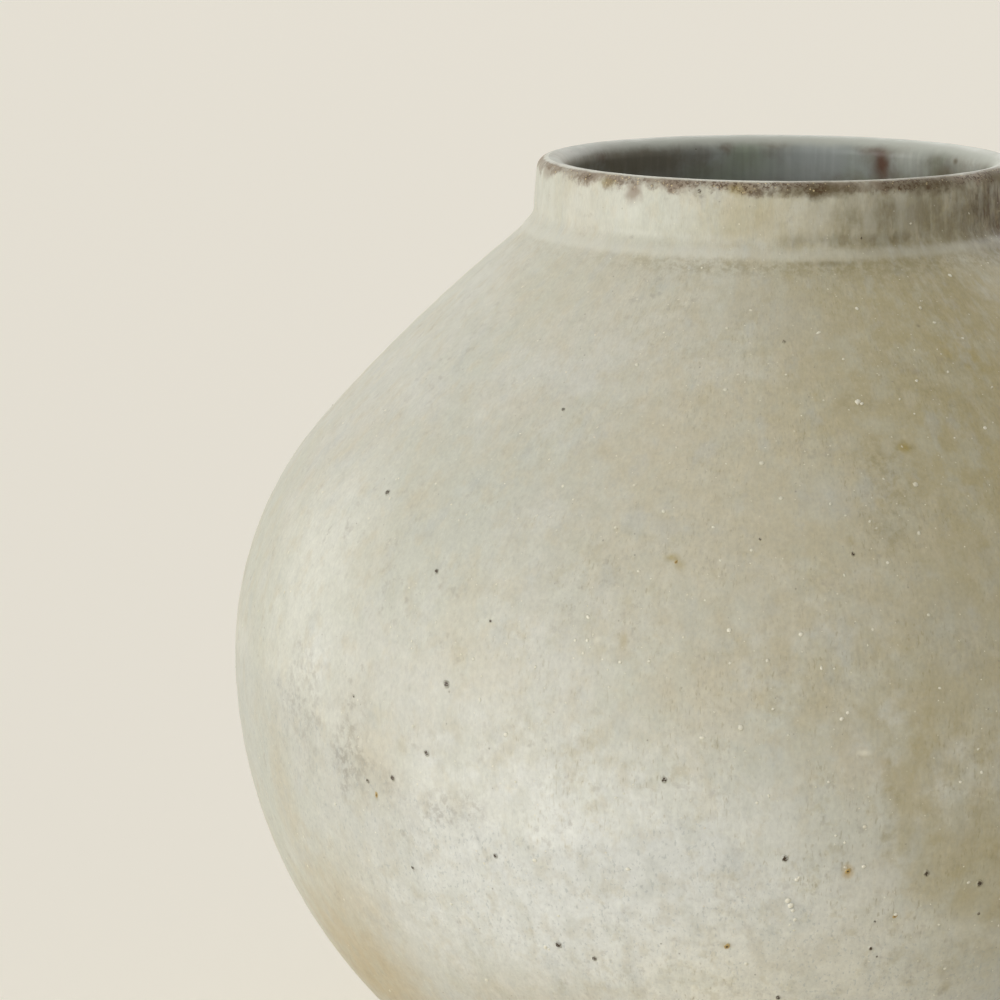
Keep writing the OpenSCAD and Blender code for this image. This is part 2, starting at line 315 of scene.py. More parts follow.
class MoonJarShape(bpy.types.PropertyGroup):
    """Sizes of the jar's section, the same as in its solids"""
    belly_radius: length("Belly radius", COAT[1].x, "Largest radius, over the glaze")
    top: length("Top", COAT[1].z, "Height of the lip's crest")
    base: length("Base", BOWL[0].z, "Height of the bowl's underside")
    foot_radius: length("Foot radius", FOOT[1].x, "Outside radius of the foot ring")
    lower_arc: length("Lower curve", 0.110, "Radius of the lower bowl's curve")
    upper_arc: length("Upper curve", 0.078, "Radius of the upper bowl's curve")
    shoulder_arc: length("Shoulder curve", 0.380, "Radius of the long shoulder")
    mouth_radius: length("Mouth radius", 0.05275, "Outside radius of the lip")
    collar_height: length("Collar height", 0.014, "From the collar's root to the lip")
    collar_lean: turn("Collar lean", 5, "How far the collar leans in as it rises")
    lip_thickness: length("Lip thickness", 0.007, "Thickness of the collar at the lip")
    lip_outer_round: length("Lip rounding", 0.0028, "Rounding of the lip's outer edge")
    root_fillet: length("Root curve", 0.008, "Hollow curve from shoulder to collar")
    throat_round: length("Throat curve", 0.014, "Rounding inside the throat")
    foot_width: length("Foot width", 0.008, "Width of the foot ring")
    foot_round: length("Foot rounding", 0.0015, "Rounding where the foot ring stands")
    wall: length("Wall", 0.0065, "Thickness of the clay wall")
    base_thickness: length("Base thickness", 0.009, "Thickness of the clay floor")
    glaze: length("Glaze", 0.0006, "Thickness of a glaze coat")
    bare_band: length("Bare band", 0.003, "Bare clay between foot and glaze")
    glaze_roll: length("Glaze roll", 0.001, "Radius of the roll that ends the glaze")
    slip: length("Slip", 0.0008, "Thickness of the slip in a joint")
    key_width: length("Key width", 0.004, "Width of the ridge in a joint")
    key_depth: length("Key depth", 0.0018, "Height of the ridge in a joint")
    slip_bead: length("Slip bead", 0.002, "Radius of the bead inside the belly joint")


class MoonJarHand(bpy.types.PropertyGroup):
    """Marks of the hand and the fire in the jar's surface"""
    wobble: length("Wobble", 0.00014, "Unevenness of the thrown wall, in and out")
    wobble_size: length("Wobble size", 0.075, "Distance from swell to swell")
    dimple: length("Dimples", 0.00005, "Depth of the small dents in the glaze")
    dimple_size: length("Dimple size", 0.011, "Distance from dent to dent")
    outer_ring: length("Outer rings", 0.00003, "Height of the throwing rings outside")
    inner_ring: length("Inner rings", 0.00035, "Height of the throwing rings inside")
    ring_pitch: length("Ring pitch", 0.0075, "Distance between throwing rings")
    drip: length("Drips", 0.00004, "Height of the glaze drips on the collar")
    drip_size: length("Drip width", 0.006, "Width of a glaze drip")
    fold: length("Fold", 0.0003, "Height of the low ridge at the collar's root")
    hem: length("Hem", 0.0012, "How far the glaze's lower edge wanders")
    trimming: length("Trimming rings", 0.00022, "Depth of the trimming marks underneath")
    trimming_pitch: length("Trimming pitch", 0.0034, "Distance between trimming marks")
    grain_spacing: length("Grain spacing", 0.0018, "Least distance between white grains")


class MoonJarGlaze(bpy.types.PropertyGroup):
    """Colours of the glazes and the clay"""
    ash: tint("Ash", srgb(215, 214, 202), "Ground colour of the outer glaze")
    mist: tint("Mist", srgb(206, 207, 191), "Grey green clouds")
    # Fog is also the painted highlight along the lip's crest
    fog: tint("Fog", srgb(196, 199, 188), "Pale grey glaze inside the lip")
    # Milk is partly painted bounce light, where it lightens the lower front
    milk: tint("Milk", srgb(244, 245, 238), "The palest, thickest glaze")
    # Bloom is also the painted highlight on the ledge at the collar's root
    bloom: tint("Bloom", srgb(230, 230, 218), "Milky thick glaze")
    # Sand is also painted warm bounce along the lower left edge, in low_warm_rim
    sand: tint("Sand", srgb(208, 199, 173), "Pinkish sand, thinner glaze")
    wheat: tint("Wheat", srgb(209, 201, 174), "Warm glaze in the middle")
    # Straw, where it darkens the jar's right side, is partly glaze colour, partly painted shade
    straw: tint("Straw", srgb(186, 174, 132), "Warm glaze on the sheltered side")
    # Tan is painted warm bounce light in low_warm
    tan: tint("Tan", srgb(200, 184, 148), "Warm glaze low on the jar")
    olive: tint("Olive", srgb(160, 148, 108), "Olive stains and streaks")
    moss: tint("Moss", srgb(170, 150, 78), "Yellow olive bleeding")
    # Bark is also painted shade: on the collar's right side and in the groove at its foot
    bark: tint("Bark", srgb(106, 95, 66), "Brown shade on the collar")
    slate: tint("Slate", srgb(199, 202, 197), "Bluish grey clouds")
    # Smoke is also painted shade: beside the large white lump (lump_shade) and inside the lip's right
    # (right_shade)
    smoke: tint("Smoke", srgb(160, 152, 136), "Grey smudges under the glaze")
    amber: tint("Amber", srgb(190, 160, 92), "Iron bleeding into the glaze")
    rust: tint("Rust", srgb(94, 62, 38), "Rust brown runs")
    mauve: tint("Mauve", srgb(152, 136, 117), "The lip where the glaze breaks thin")
    # Umber is also painted shade at the collar's right edge, in neck_dark
    umber: tint("Umber", srgb(84, 62, 38), "Dark grains at the lip")
    pearl: tint("Pearl", srgb(247, 243, 224), "White grains and the overlap line")
    iron: tint("Iron", srgb(74, 60, 43), "Dark cores of the iron specks")
    steel: tint("Steel", srgb(170, 176, 172), "Bluish grey glaze inside")
    earth: tint("Earth", srgb(118, 109, 88), "Olive brown glaze inside")
    pool: tint("Pool", srgb(150, 160, 140), "Glaze pooled on the floor inside")
    clay: tint("Clay", srgb(176, 132, 96), "Bare fired clay")
    toast: tint("Toast", srgb(140, 88, 56), "Clay toasted by the fire")
    slip: tint("Slip", srgb(198, 168, 134), "Fired slip")


class MoonJarStudio(bpy.types.PropertyGroup):
    """Camera, lamps and floor"""
    distance: length("Camera distance", 0.7771, "From the jar's axis to the camera, level")
    height: length("Camera height", 0.29975, "Height of the camera over the floor")
    pitch: turn("Camera pitch", 11.313, "How far the camera looks down")
    yaw: turn("Camera turn", 4.47, "How far the camera is turned left of the axis")
    focal: share("Focal length", 3542, "Focal length in pixels of the view", 20000)
    key: share("Key light", 2.45, "Strength of the wide, low light on the left", 10)
    key_width: turn("Key width", 46, "Angle that the key light spans, which sets its softness")
    back: share("Back light", 1.0, "Strength of the wide light behind the jar", 10)
    back_width: turn("Back width", 60, "Angle that the back light spans")
    fill: share("Fill light", 0.4, "Strength of the even light from all round", 10)
    floor_radius: length("Floor radius", 9.0, "Radius of the round floor")
    floor_clear: length("Floor clearance", 0.04, "Reach under which light passes the floor")
    floor: tint("Floor", srgb(244, 239, 227), "Colour of the floor")
    floor_lift: share("Floor lift", 0.15, "How much brighter the floor looks to the camera")
    backdrop: tint("Backdrop", srgb(228, 223, 211), "Colour seen past the floor")


def shape():
    return bpy.context.scene.moon_jar_shape


def hand():
    return bpy.context.scene.moon_jar_hand


def palette():
    return bpy.context.scene.moon_jar_glaze


def studio():
    return bpy.context.scene.moon_jar_studio


def polar(radius, angle):
    return radius * np.array([math.cos(angle), math.sin(angle)])


def heading(way):
    return math.atan2(way[1], way[0])


def arc(centre, radius, start, end, step):
    """Points along a curve about centre, no more than step apart."""
    count = max(1, math.ceil(abs(end - start) * radius / step))
    turns = np.linspace(start, end, count + 1)
    return np.array(centre) + radius * np.stack([np.cos(turns), np.sin(turns)], axis=1)


def line(start, end, step):
    """Points along a straight line, no more than step apart."""
    start, end = np.array(start, float), np.array(end, float)
    count = max(1, math.ceil(np.linalg.norm(end - start) / step))
    return start + np.linspace(0, 1, count + 1)[:, None] * (end - start)


def distinct(points):
    """The points in order, with each that repeats the one before it left out."""
    apart = np.linalg.norm(np.diff(points, axis=0), axis=1) > 1e-6
    return points[np.concatenate([[True], apart])]


class Section:
    """The jar's section as radius and height, from the same curves as its solids"""

    def __init__(self, s):
        self.s = s
        self.shell = s.wall + 2 * s.glaze
        self.inner_r = s.belly_radius - s.glaze - s.wall
        self.lower_x = s.belly_radius - s.lower_arc
        foot_drop = s.foot_radius - self.lower_x
        self.seam = s.base + math.sqrt((s.lower_arc - s.glaze) ** 2 - foot_drop ** 2)
        self.lower_c = np.array([self.lower_x, self.seam])
        self.upper_c = np.array([s.belly_radius - s.upper_arc, self.seam])
        self.crest_r = s.mouth_radius - s.lip_outer_round
        self.lip_inner_round = s.lip_thickness - s.lip_outer_round
        lean, rise = polar(1, s.collar_lean), polar(1, s.collar_lean + math.pi / 2)
        self.lip_c = np.array([self.crest_r, s.top - s.lip_outer_round])
        self.lip_in_c = np.array([self.crest_r, s.top - self.lip_inner_round])
        collar_line = self.lip_c @ lean + s.lip_outer_round
        self.root_z = s.top - s.collar_height
        self.root_r = (collar_line - self.root_z * lean[1]) / lean[0]
        chord = np.array([self.root_r, self.root_z]) - self.upper_c
        reach = np.linalg.norm(chord)
        away = chord / reach
        along = (s.upper_arc ** 2 - 2 * s.upper_arc * s.shoulder_arc + reach ** 2) / (2 * reach)
        aside = math.sqrt((s.shoulder_arc - s.upper_arc) ** 2 - along ** 2)
        self.shoulder_c = self.upper_c + along * away + aside * np.array([-away[1], away[0]])
        self.shoulder_start = heading(self.upper_c - self.shoulder_c)
        self.fillet_c = self.corner(lean, rise, collar_line, s.root_fillet, s.shoulder_arc)
        self.throat_r = s.mouth_radius - s.lip_thickness
        self.throat_c = self.corner(
            np.array([1, 0]), np.array([0, 1]), self.throat_r, s.throat_round,
            s.shoulder_arc - self.shell)
        self.floor = s.base + s.base_thickness
        self.hollow_arc = self.seam - self.floor
        self.hollow_c = np.array([self.inner_r - self.hollow_arc, self.seam])
        self.glaze_z = s.base + s.bare_band
        clay_arc = s.lower_arc - s.glaze
        self.edge_angle = -math.asin((self.seam - self.glaze_z) / clay_arc)

    def corner(self, normal, tangent, distance, radius, shoulder):
        """Centre of a curve that touches a straight line and the shoulder's curve."""
        off = distance + radius - self.shoulder_c @ normal
        run = math.sqrt((shoulder + radius) ** 2 - off ** 2)
        return normal * (distance + radius) + tangent * (self.shoulder_c @ tangent + run)

    def outside(self, depth, start, step, fine):
        """The outside at a depth under the glazed surface, from angle start up to the crest."""
        s = self.s
        end = heading(self.fillet_c - self.shoulder_c)
        return distinct(np.concatenate([
            arc(self.lower_c, s.lower_arc - depth, start, 0, step),
            arc(self.upper_c, s.upper_arc - depth, 0, self.shoulder_start, step),
            arc(self.shoulder_c, s.shoulder_arc - depth, self.shoulder_start, end, step),
            arc(self.fillet_c, s.root_fillet + depth, math.pi + end, math.pi + s.collar_lean, fine),
            line(self.fillet_c - polar(s.root_fillet + depth, s.collar_lean),
                 self.lip_c + polar(s.lip_outer_round - depth, s.collar_lean), fine),
            arc(self.lip_c, s.lip_outer_round - depth, s.collar_lean, math.pi / 2, fine / 2),
        ]))

    def inside(self, depth, step, fine):
        """The cavity at a depth under the glazed surface, from the crest to the floor's middle."""
        s = self.s
        end = heading(self.throat_c - self.shoulder_c)
        bead = s.slip_bead + s.glaze - depth
        upper = s.upper_arc - self.shell + depth
        hollow = self.hollow_arc + depth - s.glaze
        wall_r = self.inner_r - s.glaze + depth
        return distinct(np.concatenate([
            arc(self.lip_in_c, self.lip_inner_round - depth, math.pi / 2, math.pi, fine / 2),
            line(self.lip_in_c - [self.lip_inner_round - depth, 0],
                 self.throat_c - [s.throat_round - depth, 0], fine),
            arc(self.throat_c, s.throat_round - depth, math.pi, math.pi + end, fine),
            arc(self.shoulder_c, s.shoulder_arc - self.shell + depth, end,
                self.shoulder_start, step),
            arc(self.upper_c, upper, self.shoulder_start, math.asin(bead / upper), step),
            arc([wall_r, self.seam], bead, math.pi / 2, 3 * math.pi / 2, fine),
            arc(self.hollow_c, hollow, -math.asin(bead / hollow), -math.pi / 2, step),
            line([self.hollow_c[0], self.seam - hollow], [0, self.seam - hollow], step),
        ]))


def mark(mesh, name, values):
    """Gives each point of a mesh a number or a direction, by name."""
    values = np.asarray(values, float)
    kind, key = ("FLOAT", "value") if values.ndim == 1 else ("FLOAT_VECTOR", "vector")
    mesh.attributes.new(name, kind, "POINT").data.foreach_set(key, values.ravel())


def ways_of(section):
    """Outward direction at each point of an open run of a section, from its neighbours."""
    along = np.gradient(section, axis=0)
    along /= np.linalg.norm(along, axis=1)[:, None]
    return np.stack([along[:, 1], -along[:, 0]], axis=1)


def turned(section, turns):
    """Each row of a section, as radius and height, at every turn about the upright axis."""
    radius, height = section[:, 0], section[:, 1]
    return np.stack([
        np.outer(radius, np.cos(turns)), np.outer(radius, np.sin(turns)),
        np.outer(height, np.ones(len(turns)))], axis=2).reshape(-1, 3)


def revolve(name, section, segments, marks):
    """A closed mesh that turns a section, bottom to top outside, about the upright axis.
    The section closes on itself, or runs from axis to axis. marks gives values for each
    point of the section: a number, or a direction as radius and height."""
    closed = section[0][0] > 1e-9
    rings = len(section)
    turns = np.arange(segments) * TURN / segments
    co = turned(section, turns)
    index = np.arange(rings * segments).reshape(rings, segments)
    if not closed:
        index[0], index[-1] = index[0, 0], index[-1, 0]
    upper = np.roll(index, -1, axis=0) if closed else index[1:]
    lower = index if closed else index[:-1]
    faces = np.stack([lower, np.roll(lower, -1, axis=1), np.roll(upper, -1, axis=1), upper], axis=2)
    kept = np.unique(index)
    place = np.zeros(rings * segments, int)
    place[kept] = np.arange(len(kept))
    quads = [list(dict.fromkeys(f)) for f in place[faces.reshape(-1, 4)].tolist()]
    mesh = bpy.data.meshes.new(name)
    mesh.from_pydata(co[kept].tolist(), [], quads, shade_flat=False)
    for label, values in marks.items():
        values = np.asarray(values, float)
        if values.ndim == 1:
            mark(mesh, label, np.repeat(values, segments)[kept])
        else:
            mark(mesh, label, turned(values, turns)[kept])
    piece = bpy.data.objects.new(name, mesh)
    bpy.context.scene.collection.objects.link(piece)
    return piece


def sharpen(piece, radius, height):
    """Marks the edges of one ring as sharp, so that the surfaces beside it shade on their own."""
    mesh = piece.data
    near = [abs(v.co.z - height) < 1e-7 and abs(v.co.xy.length - radius) < 1e-6
            for v in mesh.vertices]
    sharp = [near[e.vertices[0]] and near[e.vertices[1]] for e in mesh.edges]
    mesh.attributes.new("sharp_edge", "BOOLEAN", "EDGE").data.foreach_set("value", sharp)


# Kinds of node trees, and of the sockets that their groups take and give
SHADER, SHAPER = "ShaderNodeTree", "GeometryNodeTree"
NUMBER, PLACE, COLOUR = "NodeSocketFloat", "NodeSocketVector", "NodeSocketColor"
GEOMETRY, STUFF, THING, COUNT = (
    "NodeSocketGeometry", "NodeSocketMaterial", "NodeSocketObject", "NodeSocketInt")
FINISH = {"Colour": COLOUR, "Rough": NUMBER, "Height": NUMBER}
# What the steps make and share, by name
GROUPS, MATERIALS, TREES = {}, {}, {}


class Value:
    """What a node gives, as a term in plain sums"""

    def __init__(self, graph, socket):
        self.graph = graph
        self.socket = socket

    def __add__(self, other):
        return self.graph.reckon("ADD", self, other)

    def __sub__(self, other):
        return self.graph.reckon("SUBTRACT", self, other)

    def __rsub__(self, other):
        return self.graph.reckon("SUBTRACT", other, self)

    def __mul__(self, other):
        return self.graph.reckon("MULTIPLY", self, other)

    def __truediv__(self, other):
        return self.graph.reckon("DIVIDE", self, other)

    def __rtruediv__(self, other):
        return self.graph.reckon("DIVIDE", other, self)

    def __abs__(self):
        return self.graph.maths("ABSOLUTE", self)


class Graph:
    """A node tree, with short calls for the nodes that this jar uses"""

    def __init__(self, tree):
        self.tree = tree

    def put(self, kind, inputs=None, **settings):
        """Adds a node; an input takes a plain value or what another node gives."""
        node = self.tree.nodes.new(kind)
        for name, value in settings.items():
            setattr(node, name, value)
        for name, value in (inputs or {}).items():
            if isinstance(value, Value):
                self.tree.links.new(value.socket, node.inputs[name])
            else:
                node.inputs[name].default_value = value
        return node

    def get(self, kind, inputs=None, output=0, **settings):
        """Adds a node and gives one of its outputs."""
        return Value(self, self.put(kind, inputs, **settings).outputs[output])

    def parts(self, kind, inputs=None, **settings):
        """Adds a node and gives its outputs by name."""
        node = self.put(kind, inputs, **settings)
        return {socket.name: Value(self, socket) for socket in node.outputs}

    def maths(self, operation, *values):
        return self.get("ShaderNodeMath", dict(enumerate(values)), operation=operation)

    def vector(self, operation, *values):
        number = operation in ("LENGTH", "DOT_PRODUCT")
        return self.get("ShaderNodeVectorMath", dict(enumerate(values)),
                        "Value" if number else "Vector", operation=operation)

    def reckon(self, operation, *values):
        """A sum of numbers, or of places if one of the terms is a place."""
        places = any(isinstance(v, Value) and v.socket.type == "VECTOR" for v in values)
        return (self.vector if places else self.maths)(operation, *values)

    def scaled(self, vector, factor):
        return self.get("ShaderNodeVectorMath", {0: vector, "Scale": factor}, operation="SCALE")

    def split(self, vector):
        return self.parts("ShaderNodeSeparateXYZ", {0: vector}).values()

    def join(self, x, y, z):
        return self.get("ShaderNodeCombineXYZ", {0: x, 1: y, 2: z})

    def mix(self, factor, first, second, blend="MIX"):
        """Mixes two colours, which may be names in the palette."""
        first, second = (tuple(getattr(palette(), colour)) if isinstance(colour, str) else colour
                         for colour in (first, second))
        return self.get("ShaderNodeMix", {0: factor, 6: first, 7: second}, 2, data_type="RGBA",
                        blend_type=blend, clamp_factor=True)

    def ramp(self, value, low, high, least=0.0, most=1.0):
        """Eases a value from low to high into least to most."""
        return self.get("ShaderNodeMapRange", {
            "Value": value, "From Min": low, "From Max": high, "To Min": least, "To Max": most,
        }, interpolation_type="SMOOTHSTEP")

    def noise(self, vector, size, detail=3.0, roughness=0.55, distortion=0.0, seed=0):
        """Cloudy noise of about 0 to 1, whose swells are about size apart."""
        shifted = self.vector("ADD", vector, (seed * 17.3, seed * -9.1, seed * 5.7))
        return self.get("ShaderNodeTexNoise", {
            "Vector": shifted, "Scale": 1 / size, "Detail": detail, "Roughness": roughness,
            "Distortion": distortion}, "Fac")

    def cloud(self, vector, size, low, high, **kind):
        """A soft mask where noise is above low, full from high on."""
        return self.ramp(self.noise(vector, size, **kind), low, high)

    def clouds(self, colour, vector, rows, **kind):
        """Mixes clouds into a colour: size, low, high, seed, strength and colour of each."""
        for size, low, high, seed, part, other in rows:
            mask = self.cloud(vector, size, low, high, seed=seed, **kind)
            colour = self.mix(mask * part, colour, other)
        return colour

    def dots(self, vector, spacing, size, part, seed=0):
        """Round dots of a random width up to size, in a part of the cells of a grid."""
        shifted = self.vector("ADD", vector, (seed * 31.7, seed * 13.3, seed * -7.9))
        cells = self.parts("ShaderNodeTexVoronoi", {
            "Vector": shifted, "Scale": 1 / spacing, "Randomness": 1.0})
        lot = self.parts("ShaderNodeSeparateColor", {0: cells["Color"]})
        width = lot["Green"] * (size * 0.6) + size * 0.4
        dot = self.ramp(cells["Distance"] * spacing, width, width * 0.45)
        return dot * self.maths("LESS_THAN", lot["Red"], part)

    def group(self, name, inputs):
        kind = self.tree.bl_idname.replace("Tree", "Group")
        return self.parts(kind, inputs, node_tree=GROUPS[name])

    def flecks(self, place, wide, tall, least, full):
        """Upright dashes round the wall, of a width and a length."""
        return self.group("flecks", {
            "Round": place, "Width": wide, "Length": tall, "Least": least, "Full": full})["Mask"]

    def attribute(self, name):
        return self.get("ShaderNodeAttribute", None, "Fac", attribute_name=name)

    def named(self, name, kind="FLOAT"):
        return self.get("GeometryNodeInputNamedAttribute", {"Name": name}, "Attribute", data_type=kind)

    def across(self, place):
        """How far to the right of the jar's axis a place lies."""
        return self.vector("DOT_PRODUCT", place, (1.0, 0.0, 0.0))

    def give(self, **values):
        """Ends a node group with what it gives."""
        self.put("NodeGroupOutput", values)
        return self.tree


def new_group(name, kind, takes, gives):
    """A node group's graph, and what it takes: each a kind of socket, or a number to start from."""
    tree = bpy.data.node_groups.new(name, kind)
    for side, sockets in (("INPUT", takes), ("OUTPUT", gives)):
        for label, what in sockets.items():
            kinds = {str: what, float: NUMBER, int: COUNT}
            made = tree.interface.new_socket(label, in_out=side, socket_type=kinds[type(what)])
            if not isinstance(what, str):
                made.default_value = what
    graph = Graph(tree)
    start = graph.put("NodeGroupInput")
    return graph, *(Value(graph, start.outputs[label]) for label in takes)


def stain_group():
    """Shader group: an uneven patch about a centre, in millimetres."""
    graph, place, centre, reach, ragged, wisp, grit, grainy = new_group(
        "stain", SHADER,
        {"Place": PLACE, "Centre": PLACE, "Reach": PLACE, "Ragged": 0.5, "Wisp": 0.5,
         "Grit": 1.0, "Grainy": 0.0},
        {"Mask": NUMBER})
    far = graph.vector("LENGTH", (place - centre) / reach)
    edge = (wisp - 0.5) * ragged * 2.2 + far
    broken = grit * grainy + (1.0 - grainy)
    return graph.give(Mask=graph.ramp(edge, 1.15, 0.1) * broken)


def round_group():
    """Shader group: a place on the wall measured round the jar and along its curve, in
    millimetres, with its height and its share of a full turn."""
    s = shape()
    graph, place = new_group(
        "round_the_wall", SHADER, {"Place": PLACE},
        {"Round": PLACE, "Height": NUMBER, "Turn": NUMBER})
    x, y, z = graph.split(place)
    flat = graph.join(x, y, 0.0)
    radius = graph.maths("MAXIMUM", graph.vector("LENGTH", flat), 0.5)
    half = graph.maths("SIGN", z - Section(s).seam / MM)
    along = half * (s.belly_radius / MM - radius) + z
    bearing = graph.maths("ARCTAN2", y, x) * (1 / TURN) + 0.5
    spread = graph.scaled(flat, 100.0 / radius)
    return graph.give(Round=spread + graph.join(0.0, 0.0, along), Height=z, Turn=bearing)


def flecks_group():
    """Shader group: short upright dashes round the wall, in millimetres."""
    graph, place, wide, tall, least, full = new_group(
        "upright_flecks", SHADER,
        {"Round": PLACE, "Width": 1.0, "Length": 4.0, "Least": 0.6, "Full": 0.7},
        {"Mask": NUMBER})
    place = place * graph.join(1.0 / wide, 1.0 / wide, 1.0 / tall)
    level = graph.noise(place, 1.0, detail=2.0, roughness=0.5)
    return graph.give(Mask=graph.ramp(level, least, full))


def grit_group():
    """Shader group: fired clay with sand, pinholes and flashes of toasted colour."""
    graph, place, pale, toast, sandy = new_group(
        "clay_grit", SHADER, {"Place": PLACE, "Pale": COLOUR, "Toast": COLOUR, "Sand": 0.5},
        {"Colour": COLOUR, "Rough": NUMBER, "Height": NUMBER})
    colour = graph.mix(graph.cloud(place, 22, 0.4, 0.68, detail=5.0, seed=3), pale, toast)
    fine = graph.noise(place, 0.5, detail=4.0, roughness=0.7, seed=4)
    shade = graph.ramp(fine, 0.3, 0.7, 0.84, 1.08)
    colour = graph.vector("MULTIPLY", colour, graph.join(shade, shade, shade))
    sand = graph.dots(place, 1.6, 0.5, 0.5, seed=5) * sandy
    dark = graph.dots(place, 2.3, 0.35, 0.4, seed=6)
    colour = graph.mix(sand, colour, SAND_GRAIN)
    colour = graph.mix(dark * 0.8, colour, DARK_GRAIN)
    return graph.give(Colour=colour, Rough=0.88 - sand * 0.15, Height=fine * 0.25 + sand - dark)


def lip_group():
    """Shader group: the lip, where the glaze runs thin to mauve and dark grains."""
    graph, colour, place, below = new_group(
        "lip_break", SHADER, {"Colour": COLOUR, "Place": PLACE, "Below": 10.0},
        {"Colour": COLOUR, "Grain": NUMBER, "Sparkle": NUMBER, "Mask": NUMBER})
    wander = graph.noise(place, 4.5, detail=4.0, roughness=0.65, seed=11)
    low = graph.ramp(wander, 0.3, 0.75, 1.9, 4.6)
    top = graph.ramp(wander, 0.2, 0.8, 0.15, 0.4)
    band = graph.ramp(below, top, top + 0.3) * graph.ramp(below, low, low - 1.9)
    thin = graph.cloud(place, 7.0, 0.28, 0.56, detail=4.0, seed=12) * 0.5 + 0.5
    colour = graph.mix(band * thin * 0.85, colour, "mauve")
    where = graph.cloud(place, 13.0, 0.36, 0.52, detail=2.0, seed=14)
    speckle = graph.cloud(place, 0.75, 0.48, 0.58, detail=3.0, roughness=0.7, seed=13)
    sparkle = graph.dots(place, 0.7, 0.26, 0.7, seed=15)
    # A pale line along the crest: painted highlight
    colour = graph.mix(graph.ramp(below, 0.5, 0.2) * 0.42, colour, "fog")
    return graph.give(Colour=colour, Grain=speckle * where * band,
                      Sparkle=sparkle * where * band, Mask=band)


def on_wall(pixel_x, pixel_y, wall="outer_glaze"):
    """The point of a glazed wall that the camera sees through a pixel, and the way it faces."""
    camera = bpy.context.scene.camera
    middle = VIEW / 2
    way = Vector((pixel_x - middle, middle - pixel_y, -studio().focal))
    way = camera.matrix_world.to_quaternion() @ way.normalized()
    hit = WALLS[wall].ray_cast(camera.matrix_world.translation, way)
    if hit[0] is None:
        raise RuntimeError(f"pixel {pixel_x}, {pixel_y} misses the jar")
    return hit[0], hit[1]


def wall_tree(node):
    """A wall of the jar's solids, to find what a line of sight meets."""
    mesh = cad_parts[node].data
    return BVHTree.FromPolygons(
        [v.co for v in mesh.vertices], [tuple(f.vertices) for f in mesh.polygons])


WALLS = {node: wall_tree(node) for node in ("outer_glaze", "inner_glaze")}


def radius_at(height, section):
    """The outside radius of the jar at a height."""
    run = section.outside(0, section.edge_angle, 0.002, 0.001)
    return float(np.interp(height, run[:, 1], run[:, 0]))


def seen_stains(stains, wall="outer_glaze"):
    """Centre in millimetres, reach, colour, strength and raggedness of stains in the view."""
    for x, y, across, up, *rest in stains.values():
        yield (tuple(on_wall(x, y, wall)[0] / MM), (across, across, up), *rest)


def stains_behind():
    """The same for the stains on the sides that the view doesn't show."""
    section = Section(shape())
    for degrees, height, across, up, *rest in STAINS_BEHIND.values():
        flat = polar(radius_at(height * MM, section) / MM, math.radians(degrees))
        yield ((flat[0], flat[1], height), (across, across, up), *rest)


def lay_stains(graph, place, wisp, grit, colour, stains):
    """Mixes each stain into a colour."""
    for centre, reach, name, strength, ragged in stains:
        mask = graph.group("stain", {
            "Place": place, "Centre": centre, "Reach": reach, "Ragged": ragged, "Wisp": wisp,
            "Grit": grit, "Grainy": GRAINY.get(name, 0.0)})["Mask"]
        colour = graph.mix(mask * strength, colour, name)
    return colour


def overlap_curve(node):
    """Shapes a curve node into the overlap line: height against the turn round the jar."""
    points = []
    for x, y in OVERLAP_SEEN:
        place = on_wall(x, y)[0]
        points.append((math.atan2(place.y, place.x) / TURN + 0.5, place.z / LINE_REACH))
    for degrees, height in OVERLAP_BEHIND:
        points.append((degrees / 360 + 0.5, height * MM / LINE_REACH))
    points.sort()
    ends = (points[0][1] + points[-1][1]) / 2
    curve = node.mapping.curves[0]
    curve.points[0].location = (0, ends)
    curve.points[1].location = (1, ends)
    for place in points:
        curve.points.new(*place)
    node.mapping.update()


